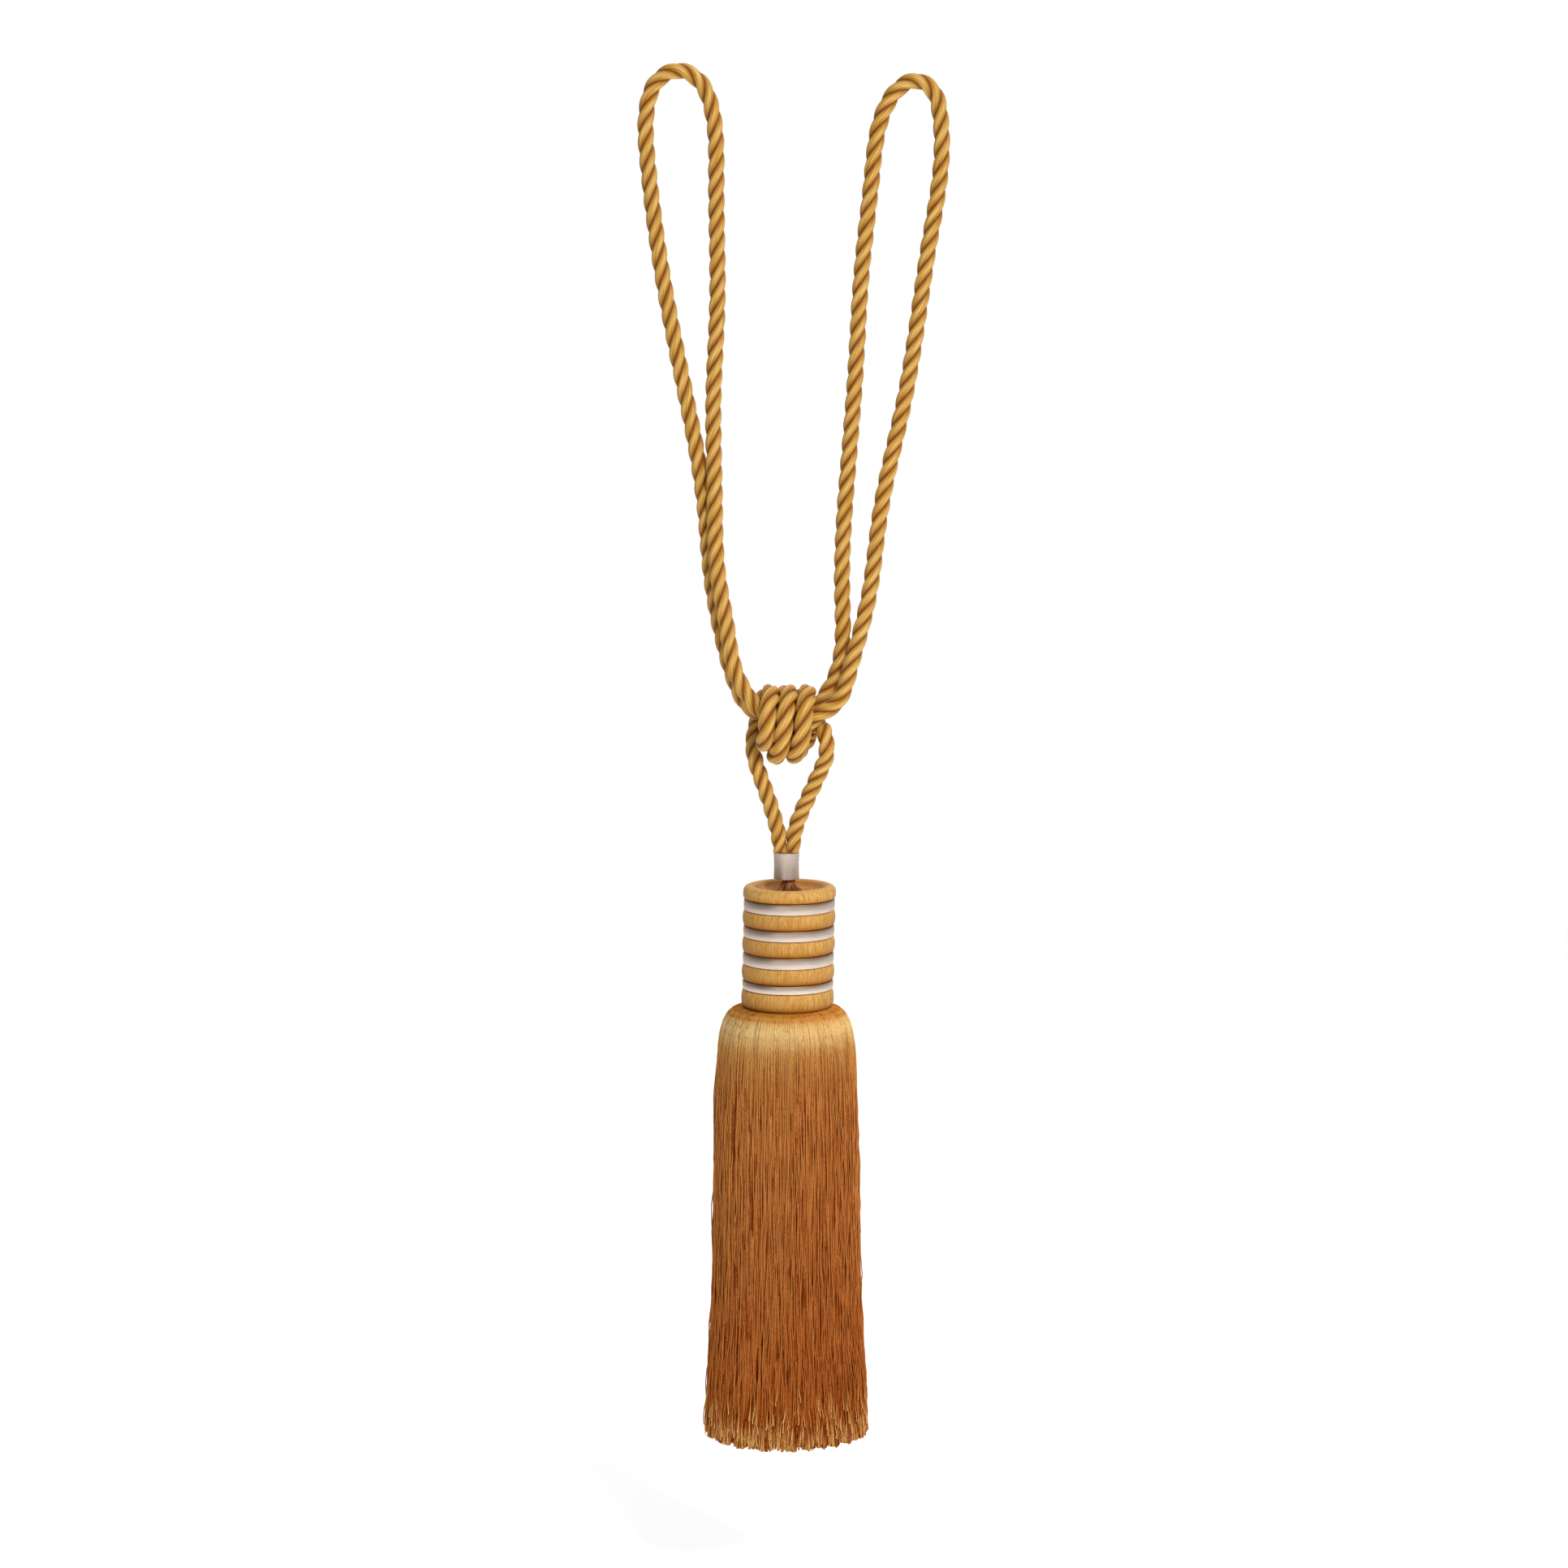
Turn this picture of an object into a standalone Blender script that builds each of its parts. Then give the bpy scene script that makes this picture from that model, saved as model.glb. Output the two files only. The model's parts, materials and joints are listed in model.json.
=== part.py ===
"""Curtain tieback with one hanging tassel, modelled at real size in metres, +Z up.

A laid rope makes two long loops and passes through a knot.  The knot is a second rope,
wound three times round the first, whose two legs drop into a bound collar.  Under the
collar hangs a turned head covered in yarn, with four satin bands in its grooves, and a
long skirt of strands.  The origin is on the tassel's plumb line, level with the crown of
the higher loop.  Sizes and tables are in millimetres and are turned to metres once.
"""

import math
import random
from collections import namedtuple

import bmesh
import bpy
import numpy as np
from mathutils import Vector, geometry

MM = 0.001
GAP = 0.3                     # air between neighbouring pieces

# ---------------------------------------------------------------- rope, three strands
ROPE_CREST = 4.8              # middle line to the outside of a strand
ROPE_VALLEY = 3.5             # middle line to the groove between two strands
ROPE_LEAD = 35.0              # length of one full turn of the lay
ROPE_STRANDS = 3
CREST_HALF_ANGLE = 19.0       # degrees either side of a strand's middle
TWIST_STEP = 60.0             # degrees of lay between two rings of points
CURVE_SAMPLES = 24            # fine samples between two points of a route
LEG_SQUEEZED = 3.75           # crest radius where the legs enter the collar
LEG_TAPER = 20.0              # length over which a leg is squeezed

# ---------------------------------------------------------------- collar
COLLAR_X = -0.75
COLLAR_TOP = -475.7
COLLAR_BOTTOM = -491.7
COLLAR_END_RADIUS = 7.85
COLLAR_WAIST_RADIUS = 7.55
COLLAR_SIDES = 20

# ---------------------------------------------------------------- head
HEAD_SIDES = 28
HEAD_RADIUS = 28.2            # over the rings
GROOVE_RADIUS = 26.4          # floor of a groove
RING_EDGE = 1.3               # height of a ring's rounded edge
RING_EDGE_INSET = 1.0         # and how far it draws in
RIM_TOP = -495.8
HEAD_BOTTOM = -570.5
HEAD_TOP_X = 1.2              # the head leans a little
HEAD_BOTTOM_X = -0.2
NECK_RADIUS = 4.8
Ring = namedtuple("Ring", "top bottom")
RINGS = (                     # heights of the five yarn rings, downwards
    Ring(RIM_TOP, -503.6),
    Ring(-510.6, -520.1),
    Ring(-526.9, -536.6),
    Ring(-543.8, -553.6),
    Ring(-559.2, HEAD_BOTTOM),
)
Turn = namedtuple("Turn", "radius below_rim")
RECESS = (                    # open top of the head, from its neck out to the rim
    Turn(NECK_RADIUS, COLLAR_BOTTOM - GAP - RIM_TOP),
    Turn(5.6, 0.2),
    Turn(8.6, -2.6),
    Turn(14.0, -3.4),
    Turn(19.0, -2.2),
    Turn(22.0, -0.5),
    Turn(24.6, 0.0),
    Turn(27.2, -1.1),
)

# ---------------------------------------------------------------- bands
BAND_RADIUS = 27.75
BAND_EDGE_RADIUS = 27.45

# ---------------------------------------------------------------- skirt
SKIRT_X = -0.8
SKIRT_TOP = HEAD_BOTTOM - GAP
BACKING_BOTTOM = -592.0
HEM = -835.5
HEM_UNEVEN = 2.7              # strands end this much higher or lower
SWAY = 0.4                    # sideways wander of a strand at the hem
STRAND_SEED = 7
Flute = namedtuple("Flute", "radius depth z")
SHOULDER = (                  # backing's side, fluted strand by strand
    Flute(28.5, 0.0, SKIRT_TOP),
    Flute(34.4, 0.5, -573.8),
    Flute(38.2, 1.1, -578.6),
    Flute(40.4, 1.5, -584.6),
    Flute(41.0, 1.6, BACKING_BOTTOM),
)
Station = namedtuple("Station", "fall spread")
OUTER_FALL = (                # share of the drop, and the skirt's spread there
    Station(0.20, 1.054),
    Station(0.58, 1.095),
    Station(0.82, 1.154),
    Station(1.00, 1.215),
)
INNER_FALL = (
    Station(0.35, 1.05),
    Station(0.75, 1.12),
    Station(1.00, 1.19),
)
Row = namedtuple("Row", "count radius depth half_width fall")
STRAND_ROWS = (               # three-sided strands, each with its ridge outwards
    Row(64, 41.0, 3.2, 1.65, OUTER_FALL),
    Row(44, 36.6, 4.0, 2.00, INNER_FALL),
    Row(28, 30.6, 4.6, 2.60, INNER_FALL),
)

# ---------------------------------------------------------------- routes, placed by hand
At = namedtuple("At", "x depth z")
LOOP_ROUTE = (
    # first end, tucked into the knot
    At(0.0, -5.0, -392.4), At(-8.0, -5.0, -391.9), At(-16.0, -5.0, -389.2),
    # left loop, inner leg, upwards
    At(-22.4, -5.0, -381.6), At(-30.0, -5.0, -368.5), At(-36.6, -5.0, -338.0),
    At(-41.8, -4.9, -307.0), At(-43.8, -4.0, -262.0), At(-44.5, -1.0, -198.0),
    At(-42.2, 0.0, -145.0), At(-42.6, 0.0, -70.0),
    # left crown
    At(-45.9, 0.0, -25.0), At(-52.2, 0.0, -11.8), At(-64.9, 0.0, -5.2),
    At(-77.8, 0.0, -11.6), At(-83.5, 0.0, -25.5),
    # left loop, outer leg, downwards
    At(-83.6, 0.0, -58.0), At(-76.4, 0.0, -117.0), At(-62.9, 1.0, -190.0),
    At(-49.9, 4.0, -267.0), At(-46.1, 5.0, -309.0), At(-39.1, 5.0, -347.0),
    At(-30.6, 5.0, -375.6),
    # through the knot, at the back
    At(-22.5, 5.0, -388.2), At(-12.0, 5.0, -392.6), At(0.0, 5.0, -393.4),
    At(12.2, 5.0, -391.2), At(19.7, 5.0, -384.4),
    # right loop, inner leg, upwards
    At(28.8, 4.9, -369.0), At(32.9, 1.6, -319.0), At(36.4, 0.0, -240.0),
    At(40.9, 0.0, -180.0), At(44.2, 0.0, -125.0), At(50.4, 0.0, -66.0),
    # right crown
    At(58.4, 0.0, -26.5), At(65.4, 0.0, -16.4), At(75.8, 0.0, -11.2),
    At(86.2, 0.0, -16.8), At(90.5, 0.0, -29.5),
    # right loop, outer leg, downwards
    At(91.7, 0.0, -56.0), At(84.8, 0.0, -106.0), At(70.4, 0.0, -199.0),
    At(55.6, 0.0, -270.0), At(48.8, -1.4, -320.0), At(36.9, -4.8, -366.0),
    # into the knot again, below the first end
    At(28.2, -5.0, -385.0), At(18.2, -5.0, -391.4), At(9.0, -3.0, -399.0),
    At(-3.5, 0.0, -403.2),
)
HANGER_ROUTE = (
    # left leg, up from the collar
    At(-4.75, 0.0, COLLAR_TOP + GAP), At(-5.4, 0.0, -466.5), At(-7.6, 0.0, -456.6),
    At(-11.4, 0.6, -444.0), At(-16.2, 2.0, -430.5), At(-19.6, 4.5, -420.0),
    At(-20.9, 8.5, -412.0), At(-20.1, 13.5, -404.0),
    # up behind the knot and over its top
    At(-18.2, 16.4, -395.6), At(-15.2, 12.6, -383.5),
    # first turn: top, front, bottom, back
    At(-10.2, 0.0, -378.3), At(-11.2, -12.5, -383.6), At(-12.6, -16.6, -397.0),
    At(-13.7, -11.0, -406.2), At(-13.8, -1.0, -408.3), At(-11.4, 8.0, -406.6),
    At(-8.6, 14.6, -401.4), At(-7.0, 16.6, -394.0), At(-4.0, 11.8, -382.9),
    # second turn
    At(0.8, 0.0, -378.3), At(-0.4, -12.5, -383.6), At(-2.2, -16.6, -397.4),
    At(-5.0, -12.5, -411.2), At(-7.2, 0.5, -416.5), At(-2.0, 12.6, -411.3),
    At(3.6, 16.6, -396.6), At(7.2, 12.3, -383.6),
    # third turn
    At(11.9, 0.0, -378.3), At(10.7, -12.5, -383.6), At(9.2, -16.6, -397.4),
    At(6.0, -12.5, -411.2), At(3.9, 0.5, -416.5), At(8.4, 11.0, -413.8),
    # out at the back, over to the front and down the right leg
    At(12.6, 15.6, -407.8), At(16.0, 12.6, -400.9), At(19.6, 5.8, -398.4),
    At(22.4, -0.2, -402.4), At(23.6, -2.4, -409.8), At(23.1, -1.9, -417.2),
    At(20.0, -0.6, -425.4), At(15.6, 0.0, -435.0), At(9.9, 0.0, -447.6),
    At(5.9, 0.0, -457.4), At(3.7, 0.0, -466.5), At(3.25, 0.0, COLLAR_TOP + GAP),
)

Finish = namedtuple("Finish", "color roughness metallic")
GOLD_ROPE = Finish((0.62, 0.33, 0.10), 0.45, 0.0)
GOLD_YARN = Finish((0.60, 0.33, 0.12), 0.55, 0.0)
SKIRT_YARN = Finish((0.42, 0.17, 0.05), 0.60, 0.0)
SILVER_SATIN = Finish((0.60, 0.50, 0.42), 0.40, 0.0)


def smooth_curve(route):
    """Fine points, in metres, of a natural cubic spline through a route's points."""
    knots = np.array([(p.x, p.depth, p.z) for p in route]) * MM
    spans = np.linalg.norm(np.diff(knots, axis=0), axis=1)
    slopes = np.diff(knots, axis=0) / spans[:, None]
    # bending at the inner knots, from equal slopes on both sides; none at the two ends
    system = np.diag(2.0 * (spans[:-1] + spans[1:]))
    system += np.diag(spans[1:-1], 1) + np.diag(spans[1:-1], -1)
    inner = np.linalg.solve(system, 6.0 * np.diff(slopes, axis=0))
    bend = np.vstack([np.zeros(3), inner, np.zeros(3)])
    fine = [Vector(knots[0])]
    for number, span in enumerate(spans):
        here, there = knots[number], knots[number + 1]
        bend_here, bend_there = bend[number], bend[number + 1]
        for step in range(1, CURVE_SAMPLES + 1):
            ahead = step / CURVE_SAMPLES
            behind = 1.0 - ahead
            curve = (behind**3 - behind) * bend_here + (ahead**3 - ahead) * bend_there
            fine.append(Vector(behind * here + ahead * there + curve * span**2 / 6.0))
    return fine


def even_steps(fine, step):
    """Points about one step apart along a fine line, both of its ends included."""
    runs = [(b - a).length for a, b in zip(fine, fine[1:])]
    total = sum(runs)
    count = max(2, round(total / step))
    points = [fine[0].copy()]
    index, walked = 0, 0.0
    for number in range(1, count):
        target = total * number / count
        while walked + runs[index] < target:
            walked += runs[index]
            index += 1
        points.append(fine[index].lerp(fine[index + 1], (target - walked) / runs[index]))
    points.append(fine[-1].copy())
    return points, total


def carried_frames(points):
    """A tangent and two cross directions at each point, carried along without spin."""
    count = len(points)
    tangents = [
        (points[min(i + 1, count - 1)] - points[max(i - 1, 0)]).normalized()
        for i in range(count)
    ]
    normal = tangents[0].orthogonal().normalized()
    frames = []
    for tangent in tangents:
        normal = (normal - tangent * normal.dot(tangent)).normalized()
        frames.append((normal.copy(), tangent.cross(normal)))
    return frames


def lay_section():
    """Angle in degrees and radius of each point of a three-strand rope's outline."""
    lobe = 360.0 / ROPE_STRANDS
    outline = []
    for strand in range(ROPE_STRANDS):
        middle = strand * lobe
        outline.append((middle - CREST_HALF_ANGLE, ROPE_CREST))
        outline.append((middle + CREST_HALF_ANGLE, ROPE_CREST))
        outline.append((middle + lobe / 2, ROPE_VALLEY))
    return outline


def squeeze(distance_to_end):
    """Radius factor of a leg, which the collar's binding draws in at its end."""
    share = min(1.0, distance_to_end / (LEG_TAPER * MM))
    ease = share * share * (3.0 - 2.0 * share)
    slim = LEG_SQUEEZED / ROPE_CREST
    return slim + (1.0 - slim) * ease


def add_object(name, bm, finish):
    """A named object from a closed mesh, with its own material, shaded smooth."""
    bmesh.ops.recalc_face_normals(bm, faces=bm.faces)
    mesh = bpy.data.meshes.new(name)
    bm.to_mesh(mesh)
    bm.free()
    material = bpy.data.materials.new(name + "_finish")
    material.use_nodes = True
    shader = material.node_tree.nodes["Principled BSDF"]
    shader.inputs["Base Color"].default_value = (*finish.color, 1.0)
    shader.inputs["Roughness"].default_value = finish.roughness
    shader.inputs["Metallic"].default_value = finish.metallic
    mesh.materials.append(material)
    mesh.shade_smooth()
    mesh.set_sharp_from_angle(angle=math.radians(35.0))
    made = bpy.data.objects.new(name, mesh)
    bpy.context.scene.collection.objects.link(made)
    return made


def bridge(bm, upper, lower):
    """Triangles between two closed rings of as many points, cut along a right-hand lay."""
    count = len(upper)
    for i in range(count):
        j = (i + 1) % count
        bm.faces.new((upper[i], upper[j], lower[j]))
        bm.faces.new((upper[i], lower[j], lower[i]))


def laid_rope(name, route, squeezed_ends):
    """A twisted rope along a route, closed at both ends."""
    ring_step = ROPE_LEAD * TWIST_STEP / 360.0
    points, total = even_steps(smooth_curve(route), ring_step * MM)
    frames = carried_frames(points)
    outline = lay_section()
    bm = bmesh.new()
    rings = []
    for number, (point, (normal, side)) in enumerate(zip(points, frames)):
        along = total * number / (len(points) - 1)
        turned = 2.0 * math.pi * along / (ROPE_LEAD * MM)
        scale = squeeze(min(along, total - along)) if squeezed_ends else 1.0
        ring = []
        for degrees, radius in outline:
            angle = math.radians(degrees) + turned
            across = normal * math.cos(angle) + side * math.sin(angle)
            ring.append(bm.verts.new(point + across * radius * scale * MM))
        rings.append(ring)
    for upper, lower in zip(rings, rings[1:]):
        bridge(bm, upper, lower)
    bm.faces.new(rings[0])
    bm.faces.new(rings[-1])
    return add_object(name, bm, GOLD_ROPE)


def turned_ring(bm, sides, radius, height, center_x):
    """One circle of points of a turned piece."""
    ring = []
    for number in range(sides):
        angle = 2.0 * math.pi * number / sides
        x = center_x + radius * math.cos(angle)
        ring.append(bm.verts.new(Vector((x, radius * math.sin(angle), height)) * MM))
    return ring


def turned_solid(name, profile, sides, center_at, finish):
    """A turned piece, closed top and bottom, from rows of radius and height."""
    bm = bmesh.new()
    rings = [turned_ring(bm, sides, r, z, center_at(z)) for r, z in profile]
    for upper, lower in zip(rings, rings[1:]):
        bridge(bm, upper, lower)
    bm.faces.new(rings[0])
    bm.faces.new(rings[-1])
    return add_object(name, bm, finish)


def head_center(z):
    """The leaning head's middle at a height."""
    share = (RIM_TOP - z) / (RIM_TOP - HEAD_BOTTOM)
    return HEAD_TOP_X + (HEAD_BOTTOM_X - HEAD_TOP_X) * share


def head_profile():
    """Radius and height of the head, from its neck over the rim and down to its base."""
    profile = [(turn.radius, RIM_TOP + turn.below_rim) for turn in RECESS]
    for number, ring in enumerate(RINGS):
        if number > 0:
            profile.append((GROOVE_RADIUS, ring.top))
            profile.append((HEAD_RADIUS - RING_EDGE_INSET, ring.top))
        shoulder = RING_EDGE if number > 0 else 2.0 * RING_EDGE
        profile.append((HEAD_RADIUS, ring.top - shoulder))
        profile.append((HEAD_RADIUS, ring.bottom + RING_EDGE))
        profile.append((HEAD_RADIUS - RING_EDGE_INSET, ring.bottom))
        if number < len(RINGS) - 1:
            profile.append((GROOVE_RADIUS, ring.bottom))
    return profile


def band(name, upper_ring, lower_ring):
    """A satin band in the groove between two rings of the head."""
    top = upper_ring.bottom - GAP
    bottom = lower_ring.top + GAP
    inner = GROOVE_RADIUS + GAP
    center = head_center((top + bottom) / 2)
    bm = bmesh.new()
    loops = [
        turned_ring(bm, HEAD_SIDES, r, z, center)
        for r, z in (
            (inner, top),
            (BAND_EDGE_RADIUS, top),
            (BAND_RADIUS, (top + bottom) / 2),
            (BAND_EDGE_RADIUS, bottom),
            (inner, bottom),
        )
    ]
    for number, loop in enumerate(loops):
        bridge(bm, loop, loops[(number + 1) % len(loops)])
    return add_object(name, bm, SILVER_SATIN)


def root_corners(row, number):
    """A strand's three corners where it leaves the backing: ridge, then its two heels."""
    angle = 2.0 * math.pi * number / row.count
    out = Vector((math.cos(angle), math.sin(angle)))
    along = Vector((-out.y, out.x))
    heel = out * (row.radius - row.depth)
    return (out * row.radius, heel + along * row.half_width, heel - along * row.half_width)


def skirt():
    """Strands fused at their roots into a fluted shoulder under the head."""
    dice = random.Random(STRAND_SEED)
    center = Vector((SKIRT_X, 0.0))
    flutes = STRAND_ROWS[0].count
    bm = bmesh.new()
    loops = []
    for flute in SHOULDER:
        loop = []
        for number in range(2 * flutes):
            angle = math.pi * number / flutes
            radius = flute.radius - (flute.depth if number % 2 else 0.0)
            x = center.x + radius * math.cos(angle)
            loop.append(bm.verts.new(Vector((x, radius * math.sin(angle), flute.z)) * MM))
        loops.append(loop)
    bm.faces.new(loops[0])
    for upper, lower in zip(loops, loops[1:]):
        bridge(bm, upper, lower)

    # the underside: its outline, and every strand's root set into it
    flat = [Vector((v.co.x, v.co.y)) for v in loops[-1]]
    corners = list(loops[-1])
    edges = [(i, (i + 1) % len(flat)) for i in range(len(flat))]
    roots = []
    for row_number, row in enumerate(STRAND_ROWS):
        for number in range(row.count):
            spots = root_corners(row, number)
            root = []
            for spot_number, spot in enumerate(spots):
                if row_number == 0 and spot_number == 0:
                    root.append(2 * number)
                    continue
                place = (spot + center) * MM
                root.append(len(flat))
                flat.append(place)
                corners.append(bm.verts.new((place.x, place.y, BACKING_BOTTOM * MM)))
            edges += [(root[0], root[1]), (root[1], root[2]), (root[2], root[0])]
            roots.append((row, number, root))
    owner = {}
    for root_number, (_, _, root) in enumerate(roots):
        for corner in root:
            owner[corner] = root_number
    _, _, triangles, sources, _, _ = geometry.delaunay_2d_cdt(flat, edges, [], 1, 1e-9)
    for triangle in triangles:
        spots = [sources[i][0] for i in triangle]
        owners = {owner.get(spot) for spot in spots}
        if len(owners) == 1 and None not in owners:
            continue
        bm.faces.new([corners[spot] for spot in spots])

    # each strand falls from its root and spreads with the skirt
    for row, number, root in roots:
        angle = 2.0 * math.pi * number / row.count
        side = Vector((-math.sin(angle), math.cos(angle)))
        sway = dice.uniform(-SWAY, SWAY)
        end = HEM + dice.uniform(-HEM_UNEVEN, HEM_UNEVEN)
        spots = root_corners(row, number)
        upper = [corners[i] for i in root]
        for station in row.fall:
            z = BACKING_BOTTOM + (end - BACKING_BOTTOM) * station.fall
            lower = []
            for spot in spots:
                place = center + spot * station.spread + side * sway * station.fall
                lower.append(bm.verts.new(Vector((place.x, place.y, z)) * MM))
            bridge(bm, upper, lower)
            upper = lower
        bm.faces.new(upper)
    return add_object("skirt", bm, SKIRT_YARN)


def build():
    """Clear the scene and model every piece of the tieback."""
    for old in list(bpy.data.objects):
        bpy.data.objects.remove(old, do_unlink=True)
    laid_rope("loop_cord", LOOP_ROUTE, False)
    laid_rope("hanger_cord", HANGER_ROUTE, True)
    collar_profile = (
        (COLLAR_END_RADIUS, COLLAR_TOP),
        (COLLAR_WAIST_RADIUS, (COLLAR_TOP + COLLAR_BOTTOM) / 2),
        (COLLAR_END_RADIUS, COLLAR_BOTTOM),
    )
    turned_solid("collar", collar_profile, COLLAR_SIDES, lambda z: COLLAR_X, SILVER_SATIN)
    turned_solid("head", head_profile(), HEAD_SIDES, head_center, GOLD_YARN)
    for number, (upper, lower) in enumerate(zip(RINGS, RINGS[1:]), start=1):
        band(f"band_{number}", upper, lower)
    skirt()


build()
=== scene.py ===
"""How a hanging curtain tieback looks: laid rope, knot, bound collar, head, bands and skirt.

Each sub-assembly is a class that holds its sizes, draws its route or its outline, and has
a geometry node tree lay the yarn, thread or strands on it.  Each finish is a small class.
Sizes are in millimetres and are turned to metres once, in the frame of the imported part:
+Z up along the hanging tassel, +X to the right seen from the front, +Y away from the viewer.
"""

from __future__ import annotations

import json
import logging
import math
from dataclasses import dataclass
from enum import Enum
from typing import Callable, Iterable, NamedTuple

import bpy
import numpy as np
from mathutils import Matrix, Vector

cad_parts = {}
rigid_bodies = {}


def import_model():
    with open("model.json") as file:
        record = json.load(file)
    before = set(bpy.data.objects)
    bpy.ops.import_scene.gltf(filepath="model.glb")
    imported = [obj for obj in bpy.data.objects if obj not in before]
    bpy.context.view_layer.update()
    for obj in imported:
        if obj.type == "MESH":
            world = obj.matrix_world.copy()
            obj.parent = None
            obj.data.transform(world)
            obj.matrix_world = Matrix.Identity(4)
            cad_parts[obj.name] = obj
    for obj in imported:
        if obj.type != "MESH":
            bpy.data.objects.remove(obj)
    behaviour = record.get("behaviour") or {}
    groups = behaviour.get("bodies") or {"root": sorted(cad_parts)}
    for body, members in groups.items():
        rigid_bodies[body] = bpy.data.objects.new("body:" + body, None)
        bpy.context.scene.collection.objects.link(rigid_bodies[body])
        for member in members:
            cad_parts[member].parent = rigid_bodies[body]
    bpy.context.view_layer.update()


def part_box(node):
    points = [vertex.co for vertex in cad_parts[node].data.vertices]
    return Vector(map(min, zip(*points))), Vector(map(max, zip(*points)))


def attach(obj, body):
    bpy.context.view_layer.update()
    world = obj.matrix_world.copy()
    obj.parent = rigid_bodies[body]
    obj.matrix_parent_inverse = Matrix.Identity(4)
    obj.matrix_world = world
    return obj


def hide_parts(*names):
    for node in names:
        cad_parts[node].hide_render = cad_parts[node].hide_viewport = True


for leftover in list(bpy.data.objects):
    bpy.data.objects.remove(leftover, do_unlink=True)
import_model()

logging.basicConfig(level=logging.INFO, format="%(levelname)s %(message)s")
log = logging.getLogger("tieback")

MM = 0.001
FULL_TURN = 2.0 * math.pi
BODY = "root"

LAY = "lay"                   # attribute: a point's place in the straightened yarn
TONE = "tone"                 # attribute: a thread's own shade, 0 to 1
FALL = "fall"                 # attribute: share of a strand's length from its root
SHADE = "shade"               # attribute: how far a face turns to the colour of its painted shade

WHITE = (1.0, 1.0, 1.0, 1.0)
Triple = tuple[float, float, float]
Feed = object                 # what an input takes: a wire or a plain value


class NetKind(Enum):
    """Kinds of node group that this script builds."""

    GEOMETRY = "GeometryNodeTree"
    SHADER = "ShaderNodeTree"


class Slot(Enum):
    """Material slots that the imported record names."""

    ROPE = "gold_rope"
    YARN = "gold_yarn"
    SKIRT = "skirt_yarn"
    SATIN = "silver_satin"


class Ease(Enum):
    """Ways to blend from one limit of a range to the other."""

    EVEN = "LINEAR"
    SMOOTH = "SMOOTHSTEP"


class Sock(Enum):
    """Kinds of socket of a group, each with its subtype; a length is given in millimetres."""

    GEOMETRY = ("NodeSocketGeometry", "")
    FLOAT = ("NodeSocketFloat", "")
    LENGTH = ("NodeSocketFloat", "DISTANCE")
    INT = ("NodeSocketInt", "")
    VECTOR = ("NodeSocketVector", "")
    COLOR = ("NodeSocketColor", "")
    MATERIAL = ("NodeSocketMaterial", "")


class At(NamedTuple):
    """A point of a rope's route, in millimetres."""

    x: float
    depth: float
    z: float


class Turn(NamedTuple):
    """A point of a turned outline: distance from the middle line, height and painted shade."""

    radius: float
    z: float
    shade: float = 0.0


# ---------------------------------------------------------------- shared sizes

ROPE_STRANDS = 3
ROPE_LEAD = 35.0              # length of one full turn of the lay
HANGER_LEAD = 28.0            # the hanging rope is laid harder
KNOT_LEAD = 36.0              # and opens a little where it winds round the knot
STRAND_SPACING = 0.02         # how far apart two strands' yarns lie in the noise
GROOVE_POWER = 1.5            # how fast a strand's painted shade grows towards its grooves
KNOT_EASE = 12.0              # length over which a rope swells into the knot
RIM_TOP = -495.8
NECK_TOP = -492.0
RINGS = (                     # upper and lower edge of the five yarn rings
    (RIM_TOP, -503.6), (-510.6, -520.1), (-526.9, -536.6), (-543.8, -553.6), (-559.2, -570.5),
)
HEAD_LEAN = 1.4 / 74.7        # the head leans a little to the left at its base
HEAD_X = 1.2 - HEAD_LEAN * RIM_TOP
OUTLINE_STEPS = 8             # fine steps between two points of a strand's line
SEAM_REACH = 1e-7             # points this close, in metres, are one
SEED_TONE = 0.37              # how far a seed moves the shades of the threads
SKIRT_X = -0.8
BACKING_BOTTOM = -592.0
END_CROWDING = 0.7            # how much closer a strand's bends lie at its two ends
ROOT_SHARES = (0.02, 0.3)     # shares of the fall between which furrows come in
ROOT_CLOSENESS = 0.9          # how much of their depth the strands keep at their roots
CRIMP = (3.0, 0.65)           # octaves and roughness of a strand's own waves
STRAND_SIDES = 3
TIP_LUMPS = 9.0               # how finely the hem goes up and down round the skirt
TIP_LIMITS = (0.3, 0.7)       # noise that leaves a strand full length, and cuts it most
FLAT_OUT = math.pi            # tilt that turns a flat side of each strand outwards
CUT_POWER = 1.7               # most strands are nearly full length
CLUMP_EDGE = (0.26, 0.5)      # a clump's outer strands take painted shade, from its middle outwards
CLUMP_CHANGES = 4.0           # how often a strand changes its clump down its fall
CLUMP_REACH = 2.5             # how many clumps it may change over by
CLUMPS_APART = 31.0           # how far apart the strands lie in the noise of their clumps,
WAVES_APART = 97.0            # of their waves
FIBRES_APART = 61.0           # and of their fibres
LIFT_RATE = 2.3               # the noise that sets locks in or out, against the sideways one
STRAY_RATE = 1.7              # and the noise that sets single strands in or out
STRAY_SHARE = 0.5             # how far they go in or out, against sideways
CLUMP_TONE = 0.4              # share of a strand's shade that it has from its clump
PATCH_TONE = 0.4              # and from the patch of the skirt that it passes through
TONE_LIMITS = (0.25, 0.75)    # the mixed shade is stretched between these
PATCH_RATES = (270.0, 110.0)  # patches per metre across and down the skirt
PATCH_LIMITS = (0.35, 0.65)   # noise of the darkest and of the lightest patch
GAP_RATES = (420.0, 45.0)     # painted dark gaps per metre across and down
BURIED_SHADE = 0.5            # painted shade of a strand under the others
GAP_LIMITS = (0.55, 0.40)     # noise from which a painted dark gap begins, and where it is darkest
GLOSS_SPREAD = 0.12           # how far a fibre's roughness strays
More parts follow.
